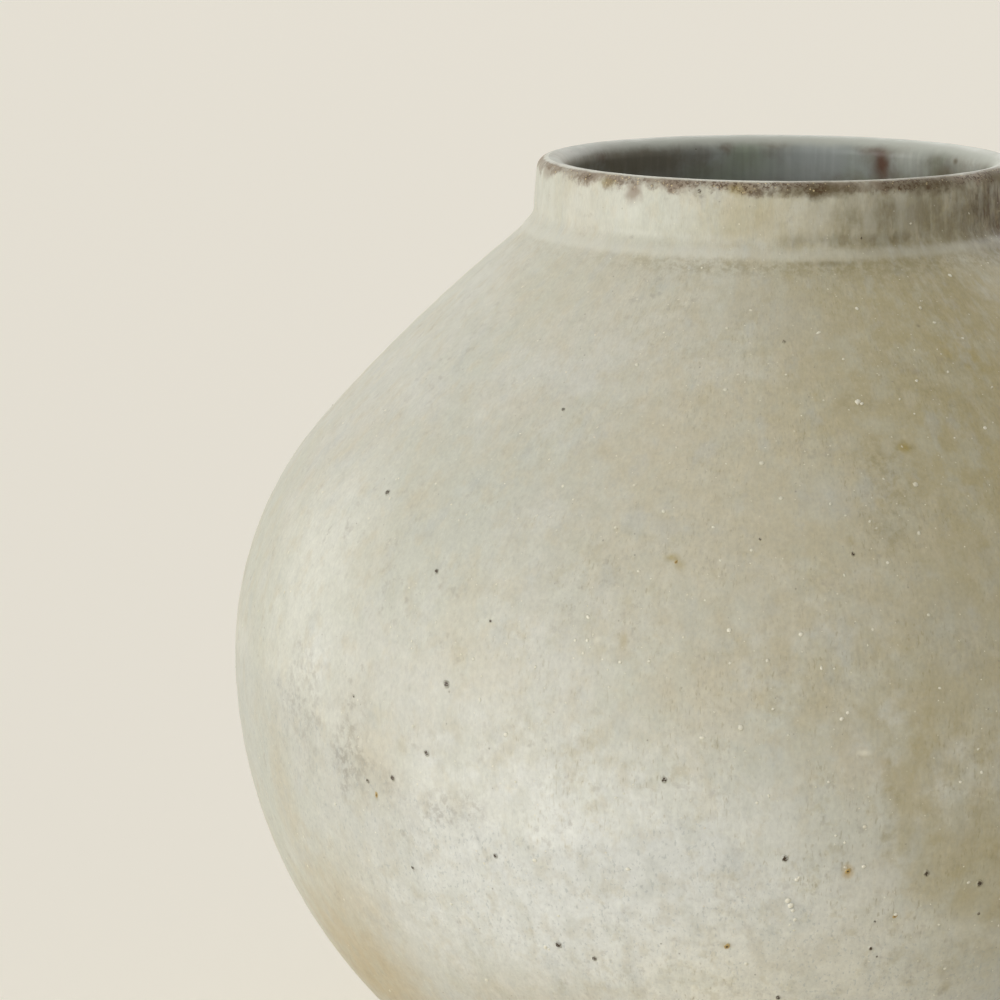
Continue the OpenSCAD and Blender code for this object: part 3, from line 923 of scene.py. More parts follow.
def coat_group():
    """Shader group: the outer ash glaze, with its clouds, stains, overlap line and lip."""
    s = shape()
    root_z = Section(s).root_z / MM
    graph, place = new_group("ash_glaze", SHADER, {"Place": PLACE}, FINISH)
    wall = graph.group("round", {"Place": place})
    around, height = wall["Round"], wall["Height"]
    tall = around * (1.0, 1.0, 0.55)
    wisp = graph.noise(place, 5.0, detail=4.0, roughness=0.62, distortion=0.2, seed=1)
    veil = graph.noise(place, 14.0, detail=4.0, roughness=0.58, seed=2)
    grit = graph.noise(place, 1.7, detail=4.0, roughness=0.65, seed=18)
    grit = graph.ramp(grit, 0.42, 0.62)

    colour = graph.clouds("ash", place, (
        (42, 0.40, 0.62, 3, 0.6, "mist"), (27, 0.44, 0.66, 4, 0.35, "sand"),
        (19, 0.5, 0.7, 5, 0.3, "bloom")), detail=5.0, roughness=0.65)
    stains = (*seen_stains(STAINS_SEEN), *stains_behind())
    colour = lay_stains(graph, place, wisp, grit, colour, stains)
    colour = graph.clouds(colour, tall, (
        (5.5, 0.44, 0.66, 19, 0.3, "mist"), (4.0, 0.5, 0.7, 20, 0.34, "sand"),
        (6.5, 0.55, 0.72, 21, 0.3, "slate")), detail=4.0)

    # The line where the coats overlap: a milky ridge and a greyer, thinner glaze below it
    curve = graph.put("ShaderNodeFloatCurve", {"Value": wall["Turn"]})
    overlap_curve(curve)
    above = height - Value(graph, curve.outputs[0]) * (LINE_REACH / MM)
    above = above + (veil * 8.0 - 4.0) + (wisp * 9.0 - 4.5)
    ridge = graph.ramp(abs(above), 5.5, 0.0) * graph.cloud(place, 24, 0.40, 0.62, seed=7)
    below = graph.ramp(above, 0.0, -7.0) * graph.ramp(above, -46.0, -16.0)
    colour = graph.mix(ridge * 0.42, colour, "bloom")
    colour = graph.mix(below * 0.22, colour, "slate")

    # Olive and steel dashes, and fine streaks and grain in the depth of the colour
    # rightward grows towards the jar's right and front: there it adds the straw cloud and olive dashes,
    # which darken and warm that side, and strengthens the streaks and grains
    side = graph.vector("DOT_PRODUCT", around, (0.0095, -0.0032, 0.0))
    rightward = graph.ramp(side, -0.75, 0.45, 0.12, 1.0) * graph.ramp(veil, 0.35, 0.62, 0.3, 1.0)
    shifted = around + (40.0, 90.0, 10.0)
    dashes = graph.flecks(around, 0.42, 1.9, 0.585, 0.74) * graph.ramp(below, 0.1, 0.8, 1.0, 0.35)
    greys = graph.flecks(shifted, 0.5, 1.1, 0.58, 0.7) * graph.ramp(below, 0.1, 0.8, 0.3, 1.0)
    straw_cloud = graph.cloud(place, 3.4, 0.5, 0.68, detail=4.0, roughness=0.65, seed=28)
    colour = graph.mix(straw_cloud * rightward * 0.3, colour, "straw")
    colour = graph.mix(dashes * rightward * 0.44, colour, "olive")
    colour = graph.mix(greys * 0.36, colour, "steel")
    rightward = rightward * graph.ramp(height, root_z - 2.0, root_z + 4.0, 1.0, 0.3)
    shade = (graph.flecks(shifted, 1.6, 16.0, 0.3, 0.7) - 0.5) * rightward * 0.05 + 1.0
    shade = shade + (graph.flecks(around, 0.6, 2.6, 0.3, 0.7) - 0.5) * rightward * 0.065
    fine = graph.noise(tall, 0.7, detail=3.0, roughness=0.6, seed=22)
    patches = graph.noise(place, 3.2, detail=3.0, roughness=0.6, seed=27)
    for noise, depth in ((patches, 0.17), (wisp, 0.1), (fine, 0.28)):
        shade = shade + (noise - 0.5) * depth
    colour = graph.mix(1.0, colour, shade, "MULTIPLY")

    pits = graph.dots(place, 3.1, 0.28, 0.5, seed=8)
    grains = graph.dots(place, 1.7, 0.27, 0.6, seed=9)
    blots = graph.cloud(place, 2.4, 0.56, 0.74, detail=3.0, roughness=0.6, seed=23)
    colour = graph.mix(blots * graph.ramp(veil, 0.36, 0.66, 0.15, 1.0) * 0.34, colour, "smoke")
    colour = graph.mix(pits * 0.6, colour, "smoke")
    colour = graph.mix(grains * graph.ramp(rightward, 0.0, 1.0, 0.5, 0.9) * 0.7, colour, "pearl")

    # The collar: an olive line, a painted highlight on the ledge at its root, and drips on its left and
    # middle
    across = graph.across(place)
    root = graph.ramp(abs(height - (root_z - 3.2)), 2.6, 0.2) * graph.ramp(side, -0.5, 0.1, 0.3, 1.0)
    colour = graph.mix(root * grit * 0.45, colour, "olive")
    # A pale band on the ledge's ridge: painted highlight
    colour = graph.mix(graph.ramp(abs(height - (root_z - 0.8)), 1.7, 0.2) * 0.3, colour, "bloom")
    neck = graph.ramp(height, root_z + 1.0, root_z + 4.0) * graph.ramp(across, 20.0, 42.0, 1.0, 0.0)
    drips = graph.flecks(shifted, 9.0, 15.0, 0.42, 0.62)
    colour = graph.mix(drips * neck * 0.22, colour, "bloom")

    lip = graph.group("lip", {"Colour": colour, "Place": place, "Below": s.top / MM - height})
    colour = lay_stains(graph, place, wisp, grit, lip["Colour"], seen_stains(LIP_SEEN))
    sheltered = graph.ramp(across, -42.0, -4.0, 0.4, 1.0)
    colour = graph.mix(lip["Grain"] * sheltered * 0.85, colour, "umber")
    colour = graph.mix(lip["Sparkle"] * 0.9, colour, SPARKLE)
    hem = height + (wisp * 3.0 - 1.5)
    colour = graph.mix(graph.ramp(hem, 15.5, 11.0) * 0.55, colour, "toast")

    skin = graph.noise(place, 0.9, detail=3.0, roughness=0.6, seed=17)
    relief = skin * 0.35 + grains * 0.7 - pits * 0.9 - dashes * 0.2 + lip["Grain"] * 0.8
    rough = graph.ramp(veil, 0.3, 0.7, 0.42, 0.56) + lip["Mask"] * 0.12
    return graph.give(Colour=colour, Rough=rough, Height=relief)


def stains_inside():
    """Stains of the inner glaze: out of sight first, then those seen in the view."""
    s = shape()
    section = Section(s)
    for degrees, drop, across, up, *rest in INSIDE_BEHIND.values():
        level = s.top / MM - drop
        radius = 0.0 if drop > 200 else section.throat_r / MM
        if 20 < drop <= 200:
            radius = radius_at(level * MM, section) / MM - section.shell / MM
        flat = polar(radius, math.radians(degrees))
        yield ((flat[0], flat[1], level), (across, across, up), *rest)
    yield from seen_stains(INSIDE_SEEN, "inner_glaze")


def inside_group():
    """Shader group: the inner glaze, olive brown to steel grey with rust runs."""
    top = shape().top / MM
    graph, place = new_group("inner_ash_glaze", SHADER, {"Place": PLACE}, FINISH)
    wall = graph.group("round", {"Place": place})
    wisp = graph.noise(place, 5.0, detail=4.0, roughness=0.62, distortion=0.3, seed=21)
    grit = graph.cloud(place, 1.5, 0.42, 0.62, roughness=0.65, seed=26)
    colour = graph.mix(graph.cloud(place, 30, 0.38, 0.62, detail=5.0, seed=22), "steel", "earth")
    colour = graph.clouds(colour, place, ((17, 0.5, 0.7, 23, 0.6, "pool"),),
                          detail=5.0, distortion=0.5)
    colour = lay_stains(graph, place, wisp, grit, colour, stains_inside())
    columns = graph.flecks(wall["Round"], 4.0, 26.0, 0.35, 0.65)
    colour = graph.mix(1.0, colour, graph.ramp(columns, 0.0, 1.0, 0.93, 1.04), "MULTIPLY")
    pits = graph.dots(place, 3.0, 0.35, 0.4, seed=24)
    colour = graph.mix(pits * 0.6, colour, "umber")
    fade = graph.ramp(wisp * 1.8 + wall["Height"], top - 2.4, top - 0.1)
    fade = fade * graph.ramp(graph.across(place), -50.0, -24.0, 0.45, 1.0)
    colour = graph.mix(fade, colour, "fog")
    # A pale line along the crest inside: painted highlight
    colour = graph.mix(graph.ramp(wall["Height"], top - 0.3, top - 0.1) * 0.4, colour, "fog")
    skin = graph.noise(place, 1.0, detail=3.0, roughness=0.6, seed=25)
    return graph.give(Colour=colour, Rough=graph.ramp(wisp, 0.3, 0.7, 0.34, 0.5),
                      Height=skin * 0.4 - pits)


def finish(graph, colour, rough, height, depth, gloss=0.5):
    """Ends a material: colour, roughness and relief vary, and everything else is constant."""
    bump = graph.get("ShaderNodeBump", {"Height": height, "Distance": depth, "Strength": 1.0})
    shader = graph.get("ShaderNodeBsdfPrincipled", {
        "Base Color": colour, "Roughness": rough, "Normal": bump, "Specular IOR Level": gloss})
    graph.put("ShaderNodeOutputMaterial", {"Surface": shader})


def emptied(owner):
    """The graph of a material or world, with nothing in it."""
    owner.use_nodes = True
    owner.node_tree.nodes.clear()
    return Graph(owner.node_tree)


def new_material(key, name):
    """A new material's graph, and places on the object in millimetres."""
    MATERIALS[key] = bpy.data.materials.new(name)
    graph = emptied(MATERIALS[key])
    return graph, graph.scaled(graph.get("ShaderNodeTexCoord", None, "Object"), 1 / MM)


def on_glaze(key, name, group="coat"):
    """A new material's graph and places, and what the glaze gives there."""
    graph, place = new_material(key, name)
    return graph, place, graph.group(group, {"Place": place})


def make_materials():
    """Every finish of the jar, kept by name."""
    GROUPS.update({"stain": stain_group(), "round": round_group(), "flecks": flecks_group(),
                   "grit": grit_group(), "lip": lip_group()})
    GROUPS.update({"coat": coat_group(), "inside": inside_group()})

    for key, name, group, depth, gloss in (
            ("outer_glaze", "ash_glaze", "coat", 0.00007, 0.42),
            ("inner_glaze", "inner_ash_glaze", "inside", 0.00008, 0.36)):
        graph, place, skin = on_glaze(key, name, group)
        finish(graph, skin["Colour"], skin["Rough"], skin["Height"], depth, gloss)

    graph, place, skin = on_glaze("iron", "iron_speck")
    ragged = graph.attribute("core") + (graph.noise(place, 0.45, seed=31) * 0.7 - 0.35)
    colour = graph.mix(graph.ramp(ragged, 0.0, 0.7, 0.0, 0.45), skin["Colour"], "bark")
    colour = graph.mix(graph.ramp(ragged, 0.5, 0.8), colour, "iron")
    # Pale flecks in the dark core are painted glints
    bright = graph.cloud(place, 0.34, 0.53, 0.6, detail=2.0, seed=34)
    colour = graph.mix(bright * 0.75, colour, skin["Colour"])
    rough = skin["Rough"] - graph.ramp(ragged, 0.5, 0.7) * 0.18
    finish(graph, colour, rough, skin["Height"], 0.00007, 0.42)

    graph, place, skin = on_glaze("amber", "amber_speck")
    ragged = graph.attribute("core") + (graph.noise(place, 0.6, seed=32) * 0.8 - 0.4)
    colour = graph.mix(graph.ramp(ragged, 0.05, 0.6, 0.0, 0.9), skin["Colour"], "amber")
    colour = graph.mix(graph.ramp(ragged, 0.78, 0.95), colour, "iron")
    finish(graph, colour, skin["Rough"], skin["Height"], 0.00007, 0.42)

    graph, place, skin = on_glaze("feldspar", "white_grain")
    lot = graph.attribute("lot")
    whole = graph.attribute("core") + graph.noise(place, 0.42, detail=2.0, seed=35)
    whole = graph.ramp(whole, 0.7, 1.05) * graph.ramp(lot, 0.0, 1.0, 0.55, 1.0)
    colour = graph.mix(whole, skin["Colour"], "pearl")
    colour = graph.mix(graph.ramp(lot, 0.8, 1.0, 0.0, 0.35), colour, "sand")
    fine = graph.noise(place, 0.3, detail=2.0, seed=33)
    finish(graph, colour, graph.ramp(fine, 0.3, 0.7, 0.28, 0.44), fine, 0.00003, 0.55)

    p = palette()
    for key, pale, toast, sand in (("clay", p.clay, p.toast, 0.6), ("slip", p.slip, p.clay, 0.25)):
        graph, place = new_material(key, f"fired_{key}")
        grit = graph.group("grit", {
            "Place": place, "Pale": list(pale), "Toast": list(toast), "Sand": sand})
        finish(graph, grit["Colour"], grit["Rough"], grit["Height"], 0.00012)


def relief_tree():
    """Geometry nodes that give a turned wall its swells, dents, rings, drips and hem."""
    (graph, geometry, material, wobble, wobble_size, dimple, dimple_size, ring_pitch, drip,
     drip_size, drip_base, hem, seed) = new_group(
        "thrown_relief", SHAPER,
        {"Geometry": GEOMETRY, "Material": STUFF, "Wobble": 0.0, "Wobble size": 0.075,
         "Dimple": 0.0, "Dimple size": 0.01, "Ring pitch": 0.0075, "Drip": 0.0,
         "Drip size": 0.003, "Drip base": 0.2, "Hem": 0.0, "Seed": 1.0},
        {"Geometry": GEOMETRY})
    here = graph.get("GeometryNodeInputPosition")
    ring = graph.named("ring")
    shift = seed * 3.7
    place = here + graph.join(shift, 0.0, shift)

    def swell(size, detail, where=place):
        """Noise of -1 to 1 in swells of a size."""
        return graph.get("ShaderNodeTexNoise", {
            "Vector": where, "Scale": graph.maths("DIVIDE", 1.0, size), "Detail": detail,
        }) * 2.0 - 1.0

    x, y, z = graph.split(here)
    phase = graph.named("run") / ring_pitch * TURN + graph.maths("ARCTAN2", y, x)
    rings = graph.maths("SINE", phase + swell(0.05, 2.0) * 1.6) * ring
    drips = swell(drip_size, 2.0, graph.join(x, y, z * 0.16))
    drips = drips * graph.ramp(z, drip_base, drip_base + 0.004) * drip
    height = swell(wobble_size, 1.0) * wobble + swell(dimple_size, 2.0) * dimple
    height = height + (rings + drips) - (wobble + dimple + abs(ring))
    height = graph.maths("MINIMUM", height, 0.0) * graph.named("skin")
    sway = graph.scaled(graph.named("drift", "FLOAT_VECTOR"), swell(0.016, 2.0) * hem)
    offset = graph.scaled(graph.named("way", "FLOAT_VECTOR"), height) + sway
    moved = graph.get("GeometryNodeSetPosition", {"Geometry": geometry, "Offset": offset})
    whole = graph.get("GeometryNodeRealizeInstances", {0: moved})
    return graph.give(Geometry=graph.get(
        "GeometryNodeSetMaterial", {"Geometry": whole, "Material": material}))


def scatter_tree():
    """Geometry nodes that set small shapes on a surface: some at chosen points, some strewn."""
    graph, source, thing, material, spacing, density, least, most, bias, seed = new_group(
        "set_on_surface", SHAPER,
        {"Geometry": GEOMETRY, "Shape": THING, "Material": STUFF, "Spacing": 0.01,
         "Density": 100.0, "Least": 0.0003, "Most": 0.0008, "Bias": 2.0, "Seed": 1},
        {"Geometry": GEOMETRY})

    def lot(offset, low=0.0, high=1.0):
        """A random number for each point."""
        return graph.get("FunctionNodeRandomValue", {2: low, 3: high, "Seed": seed + offset}, 1,
                         data_type="FLOAT")

    def store(geometry, name, value, kind="FLOAT"):
        return graph.get("GeometryNodeStoreNamedAttribute", {
            "Geometry": geometry, "Name": name, "Value": value}, data_type=kind, domain="POINT")

    def nearest(value):
        return graph.get("GeometryNodeSampleNearestSurface", {"Mesh": source, "Value": value},
                         "Value", data_type="FLOAT_VECTOR")

    size = graph.named("size")
    strewn = graph.parts("GeometryNodeDistributePointsOnFaces", {
        "Mesh": source, "Distance Min": spacing, "Density Max": density,
        "Density Factor": graph.named("strew"), "Seed": seed}, distribute_method="POISSON")
    random_size = graph.maths("POWER", lot(1.0), bias) * (most - least) + least
    loose = store(strewn["Points"], "size", random_size)
    loose = store(loose, "way", strewn["Normal"], "FLOAT_VECTOR")
    chosen = graph.get("GeometryNodeMeshToPoints", {
        "Mesh": source, "Selection": graph.maths("GREATER_THAN", size, 0.0)}, mode="VERTICES")
    both = graph.put("GeometryNodeJoinGeometry")
    for points in (loose, chosen):
        graph.tree.links.new(points.socket, both.inputs[0])
    points = store(Value(graph, both.outputs[0]), "lot", lot(2.0))

    upright = graph.get("FunctionNodeAlignRotationToVector", {
        "Vector": graph.named("way", "FLOAT_VECTOR")}, axis="Z")
    spin = graph.get("FunctionNodeAxisAngleToRotation", {
        "Axis": (0, 0, 1), "Angle": lot(3.0, 0.0, TURN)})
    facing = graph.get("FunctionNodeRotateRotation", {0: upright, 1: spin}, rotation_space="LOCAL")
    stretch = graph.join(size * lot(4.0, 0.65, 1.35), size * lot(5.0, 0.65, 1.35), size)
    thing = graph.get("GeometryNodeObjectInfo", {"Object": thing}, "Geometry")
    copies = graph.get("GeometryNodeInstanceOnPoints", {
        "Points": points, "Instance": thing, "Rotation": facing, "Scale": stretch})
    whole = graph.get("GeometryNodeRealizeInstances", {0: copies})

    ground = nearest(graph.get("GeometryNodeInputPosition"))
    up = nearest(graph.get("GeometryNodeInputNormal"))
    seated = ground + graph.scaled(up, graph.named("lift") * size)
    whole = graph.get("GeometryNodeSetPosition", {"Geometry": whole, "Position": seated})
    return graph.give(Geometry=graph.get(
        "GeometryNodeSetMaterial", {"Geometry": whole, "Material": material}))


def grow(piece, tree, **values):
    """Runs a geometry nodes tree on a piece and keeps the result as its plain mesh."""
    modifier = piece.modifiers.new(tree.name, "NODES")
    modifier.node_group = tree
    for item in tree.interface.items_tree:
        key = item.name.replace(" ", "_").lower()
        if item.item_type == "SOCKET" and item.in_out == "INPUT" and key in values:
            modifier[item.identifier] = values[key]
    bpy.context.view_layer.update()
    graph = bpy.context.evaluated_depsgraph_get()
    mesh = bpy.data.meshes.new_from_object(piece.evaluated_get(graph))
    piece.modifiers.clear()
    old, piece.data = piece.data, mesh
    bpy.data.meshes.remove(old)
    mesh.name = piece.name
    return piece


def thrown(piece, material, **values):
    """Gives a turned wall the relief of the hand."""
    h = hand()
    sizes = {"wobble": h.wobble, "wobble_size": h.wobble_size, "dimple": h.dimple,
             "dimple_size": h.dimple_size, "ring_pitch": h.ring_pitch, "drip": h.drip,
             "drip_size": h.drip_size, "drip_base": Section(shape()).root_z, "seed": 1.0}
    return grow(piece, TREES["relief"], material=MATERIALS[material], **{**sizes, **values})


def lengths_of(section):
    """The distance run along a section at each of its points."""
    return np.concatenate([[0], np.cumsum(np.linalg.norm(np.diff(section, axis=0), axis=1))])


def smooth(value, low, high):
    """Eases from 0 at low to 1 at high."""
    t = np.clip((value - low) / (high - low), 0, 1)
    return t * t * (3 - 2 * t)


def disc_faces(rings, sides):
    """Faces of a disc of points: its middle first, then ring after ring outwards."""
    faces = [(0, 1 + i, 1 + (i + 1) % sides) for i in range(sides)]
    for ring in range(rings - 1):
        low, high = 1 + ring * sides, 1 + (ring + 1) * sides
        faces += [(low + i, high + i, high + (i + 1) % sides, low + (i + 1) % sides)
                  for i in range(sides)]
    return faces


class MOONJAR_OT_studio(bpy.types.Operator):
    """Sets the camera, the lamp, the even light and the floor"""
    bl_idname = "moonjar.studio"
    bl_label = "Studio"

    def execute(self, context):
        v = studio()
        scene = context.scene
        lens = bpy.data.cameras.new("camera")
        lens.sensor_width = 36
        lens.lens = v.focal * lens.sensor_width / VIEW
        camera = bpy.data.objects.new("camera", lens)
        camera.location = (0, -v.distance, v.height)
        camera.rotation_euler = (math.pi / 2 - v.pitch, 0, v.yaw)
        scene.collection.objects.link(camera)
        scene.camera = camera
        scene.view_settings.view_transform = "Standard"

        for name, power, width, way in (
                ("key", v.key, v.key_width, (-1.18, -0.72, 0.06)),
                ("back", v.back, v.back_width, (0.25, 1.0, 0.85))):
            lamp = bpy.data.lights.new(name, "SUN")
            lamp.energy = power
            lamp.angle = width
            light = bpy.data.objects.new(name, lamp)
            light.location = way
            light.rotation_euler = (-Vector(way)).to_track_quat("-Z", "Y").to_euler()
            scene.collection.objects.link(light)

        scene.world = bpy.data.worlds.new("studio")
        graph = emptied(scene.world)
        path = graph.parts("ShaderNodeLightPath")
        shown = graph.maths("MAXIMUM", path["Is Camera Ray"], path["Is Glossy Ray"])
        shown = graph.maths("MAXIMUM", shown, path["Is Transmission Ray"])
        even = graph.get("ShaderNodeBackground", {"Color": EVEN_LIGHT, "Strength": v.fill})
        seen = graph.get("ShaderNodeBackground", {"Color": list(v.backdrop), "Strength": 1.0})
        graph.put("ShaderNodeOutputWorld", {
            "Surface": graph.get("ShaderNodeMixShader", {0: shown, 1: even, 2: seen})})

        rings = np.geomspace(FLOOR_START, v.floor_radius, FLOOR_RINGS)
        turns = np.arange(FLOOR_SIDES) * TURN / FLOOR_SIDES
        flat = [(0, 0, 0)] + [(r * math.cos(t), r * math.sin(t), 0) for r in rings for t in turns]
        mesh = bpy.data.meshes.new("floor")
        mesh.from_pydata(flat, [], disc_faces(FLOOR_RINGS, FLOOR_SIDES), shade_flat=False)
        floor = bpy.data.objects.new("floor", mesh)
        scene.collection.objects.link(floor)
        material = bpy.data.materials.new("pale_floor")
        graph = emptied(material)
        behind = graph.get("ShaderNodeNewGeometry", None, "Backfacing")
        ray = graph.parts("ShaderNodeLightPath")
        seen = ray["Is Camera Ray"]
        near = graph.maths("LESS_THAN", ray["Ray Length"], v.floor_clear) * (1.0 - seen)
        plain = graph.get("ShaderNodeBsdfPrincipled", {
            "Base Color": list(v.floor), "Roughness": 0.9, "Specular IOR Level": 0.1,
            "Emission Color": list(v.floor), "Emission Strength": seen * v.floor_lift})
        clear = graph.get("ShaderNodeBsdfTransparent")
        below = graph.maths("MAXIMUM", behind * seen, near)
        graph.put("ShaderNodeOutputMaterial", {
            "Surface": graph.get("ShaderNodeMixShader", {0: below, 1: plain, 2: clear})})
        mesh.materials.append(material)
        context.view_layer.update()
        return {"FINISHED"}


class MOONJAR_OT_finishes(bpy.types.Operator):
    """Makes the glazes, the clay and the trees that shape the pieces"""
    bl_idname = "moonjar.finishes"
    bl_label = "Finishes"

    def execute(self, context):
        make_materials()
        TREES.update(relief=relief_tree(), scatter=scatter_tree())
        return {"FINISHED"}


class MOONJAR_OT_outer_glaze(bpy.types.Operator):
    """Lays the outer glaze over both bowls and the collar"""
    bl_idname = "moonjar.outer_glaze"
    bl_label = "Outer Glaze"

    def execute(self, context):
        s = shape()
        g = Section(s)
        clay_arc = s.lower_arc - s.glaze
        edge = g.lower_c + polar(clay_arc, g.edge_angle)
        along, out = polar(1, g.edge_angle + math.pi / 2), polar(1, g.edge_angle)
        meet = math.asin(s.glaze / s.glaze_roll)
        turns = np.linspace(math.pi, meet, 7)
        roll = edge + s.glaze_roll * (np.outer(np.cos(turns), along) + np.outer(np.sin(turns), out))
        start = g.edge_angle + s.glaze_roll * math.cos(meet) / s.lower_arc
        skin = np.concatenate([roll[:-1], g.outside(0, start, *OUTER_STEPS)])
        ridge, groove = (np.exp(-((skin[:, 1] - g.root_z - centre) / width) ** 2)
                         for centre, width in (FOLD_RIDGE, FOLD_GROOVE))
        skin += ways_of(skin) * (hand().fold * (ridge - 0.8 * groove))[:, None]
        back = g.outside(s.glaze, g.edge_angle, *HIDDEN_STEPS)[::-1]
        ways = np.concatenate([ways_of(skin), ways_of(back)])
        ways[len(skin) - 1] = (0, 1)
        section = np.concatenate([skin, back])
        front = np.arange(len(section)) < len(skin)
        run = np.concatenate([lengths_of(skin), np.zeros(len(back))])
        height = section[:, 1]
        hem = 1 - smooth(height, g.glaze_z, g.glaze_z + 0.006)
        ring = hand().outer_ring * front * smooth(height, 0.03, 0.06) * (
            1 - smooth(height, g.root_z - 0.004, g.root_z + 0.002))
        slope = np.stack([-ways[:, 1], ways[:, 0]], axis=1) * np.where(front, 1, -1)[:, None]
        piece = revolve("glaze_coat_outer", section, OUTER_SIDES, {
            "way": ways, "skin": front.astype(float), "ring": ring, "run": run,
            "drift": slope * hem[:, None]})
        sharpen(piece, g.crest_r, s.top)
        thrown(piece, "outer_glaze", hem=hand().hem)
        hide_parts("outer_glaze")
        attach(piece, ROOT)
        return {"FINISHED"}


class MOONJAR_OT_inner_glaze(bpy.types.Operator):
    """Lays the inner glaze over the throwing rings of the cavity"""
    bl_idname = "moonjar.inner_glaze"
    bl_label = "Inner Glaze"

    def execute(self, context):
        s = shape()
        g = Section(s)
        skin = g.inside(0, *INNER_STEPS)
        back = g.inside(s.glaze, *HIDDEN_STEPS)[::-1]
        ways = np.concatenate([ways_of(back), ways_of(skin)])
        ways[len(back)] = (0, 1)
        section = np.concatenate([back, skin])
        front = np.arange(len(section)) >= len(back)
        run = np.concatenate([np.zeros(len(back)), lengths_of(skin)])
        depth = s.top - section[:, 1]
        ring = hand().inner_ring * front * smooth(depth, 0.016, 0.034)
        ring *= smooth(section[:, 0], 0.004, 0.03)
        ring *= smooth(abs(section[:, 1] - g.seam), 0.003, 0.008)
        still = np.zeros((len(section), 2))
        piece = revolve("glaze_coat_inner", section, INNER_SIDES, {
            "way": ways, "skin": front.astype(float), "ring": ring, "run": run, "drift": still})
        sharpen(piece, g.crest_r, s.top)
        thrown(piece, "inner_glaze")
        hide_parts("inner_glaze")
        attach(piece, ROOT)
        return {"FINISHED"}


class MOONJAR_OT_bowl(bpy.types.Operator):
    """Turns the lower bowl, with trimming marks on its underside"""
    bl_idname = "moonjar.bowl"
    bl_label = "Lower Bowl"

    def execute(self, context):
        s = shape()
        g = Section(s)
        mid = s.foot_radius - s.foot_width / 2
        joint = g.seam - s.slip / 2
        belly_mid = s.belly_radius - s.glaze - s.wall / 2
        half = s.key_width / 2
        base_r = s.foot_radius
        clay_arc = s.lower_arc - s.glaze
        base_angle = -math.asin((g.seam - s.base) / clay_arc)
        drop = -math.asin(s.slip / 2 / clay_arc)
        hollow_drop = -math.asin(s.slip / 2 / g.hollow_arc)
        under = line([0, s.base], [mid - half, s.base], TRIMMED_STEP)
        section = distinct(np.concatenate([
            under, [[mid, s.base + s.key_depth], [mid + half, s.base], [base_r, s.base]],
            arc(g.lower_c, clay_arc, base_angle, g.edge_angle, BARE_STEP),
            arc(g.lower_c, clay_arc, g.edge_angle, drop, COVERED_STEP),
            [[belly_mid + half, joint], [belly_mid, joint + s.key_depth],
             [belly_mid - half, joint]],
            arc(g.hollow_c, g.hollow_arc, hollow_drop, -math.pi / 2, COVERED_STEP),
            line([g.hollow_c[0], g.floor], [0, g.floor], COVERED_STEP),
        ]))
        order = np.arange(len(section))
        trimmed = order < len(under)
        band = (section[:, 0] > base_r) & (section[:, 1] < g.glaze_z) & (order < len(section) / 2)
        inner = s.foot_radius - s.foot_width
        ring = hand().trimming * trimmed * smooth(section[:, 0], 0.001, 0.004) * (
            1 - smooth(section[:, 0], inner - 0.004, inner - 0.001))
        ring = ring + hand().trimming * 0.3 * band
        ways = ways_of(section)
        ways[trimmed] = (0, -1)
        skin = np.where(trimmed, 1 - smooth(section[:, 0], inner - 0.004, inner - 0.001),
                        band * smooth(section[:, 1], s.base, s.base + 0.001))
        piece = revolve("bowl_lower", section, CLAY_SIDES, {
            "way": ways, "skin": skin, "ring": ring, "run": lengths_of(section),
            "drift": np.zeros((len(section), 2))})
        thrown(piece, "clay", ring_pitch=hand().trimming_pitch, drip=0.0)
        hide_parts("lower_bowl")
        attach(piece, ROOT)
        return {"FINISHED"}


class MOONJAR_OT_foot(bpy.types.Operator):
    """Turns the foot ring, with its trimming marks"""
    bl_idname = "moonjar.foot"
    bl_label = "Foot Ring"

    def execute(self, context):
        s = shape()
        outer, inner = s.foot_radius, s.foot_radius - s.foot_width
        mid = s.foot_radius - s.foot_width / 2
        top, fr, half = s.base - s.slip, s.foot_round, s.key_width / 2
        quarter = math.pi / 2
        section = distinct(np.concatenate([
            arc([inner + fr, fr], fr, 2 * quarter, 3 * quarter, ROUND_STEP),
            line([inner + fr, 0], [outer - fr, 0], 0.001),
            arc([outer - fr, fr], fr, 3 * quarter, 4 * quarter, ROUND_STEP),
            line([outer, fr], [outer, top], ROUND_STEP),
            [[mid + half, top], [mid, top + s.key_depth], [mid - half, top]],
            line([inner, top], [inner, fr], ROUND_STEP)[:-1],
        ]))
        ways = ways_of(section)
        side = (abs(section[:, 0] - outer) < 1e-6) | (abs(section[:, 0] - inner) < 1e-6)
        height = section[:, 1]
        skin = side * smooth(height, 0.0, 0.002) * (1 - smooth(height, top - 0.001, top))
        piece = revolve("ring_foot", section, CLAY_SIDES, {
            "way": ways, "skin": skin, "ring": 0.00012 * side, "run": lengths_of(section),
            "drift": np.zeros((len(section), 2))})
        thrown(piece, "clay", ring_pitch=0.0021, drip=0.0, wobble=0.00012, dimple=0.00009,
               dimple_size=0.005)
        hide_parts("foot_ring")
        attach(piece, ROOT)
        return {"FINISHED"}


class MOONJAR_OT_clay(bpy.types.Operator):
    """Gives the clay and slip that stay as solids their fired finish"""
    bl_idname = "moonjar.clay"
    bl_label = "Clay and Slip"

    def execute(self, context):
        finishes = {"upper_bowl": "clay", "mouth_collar": "clay", "foot_slip": "slip",
                    "seam_slip": "slip", "collar_slip": "slip"}
        for node, material in finishes.items():
            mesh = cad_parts[node].data
            mesh.materials.clear()
            mesh.materials.append(MATERIALS[material])
        return {"FINISHED"}


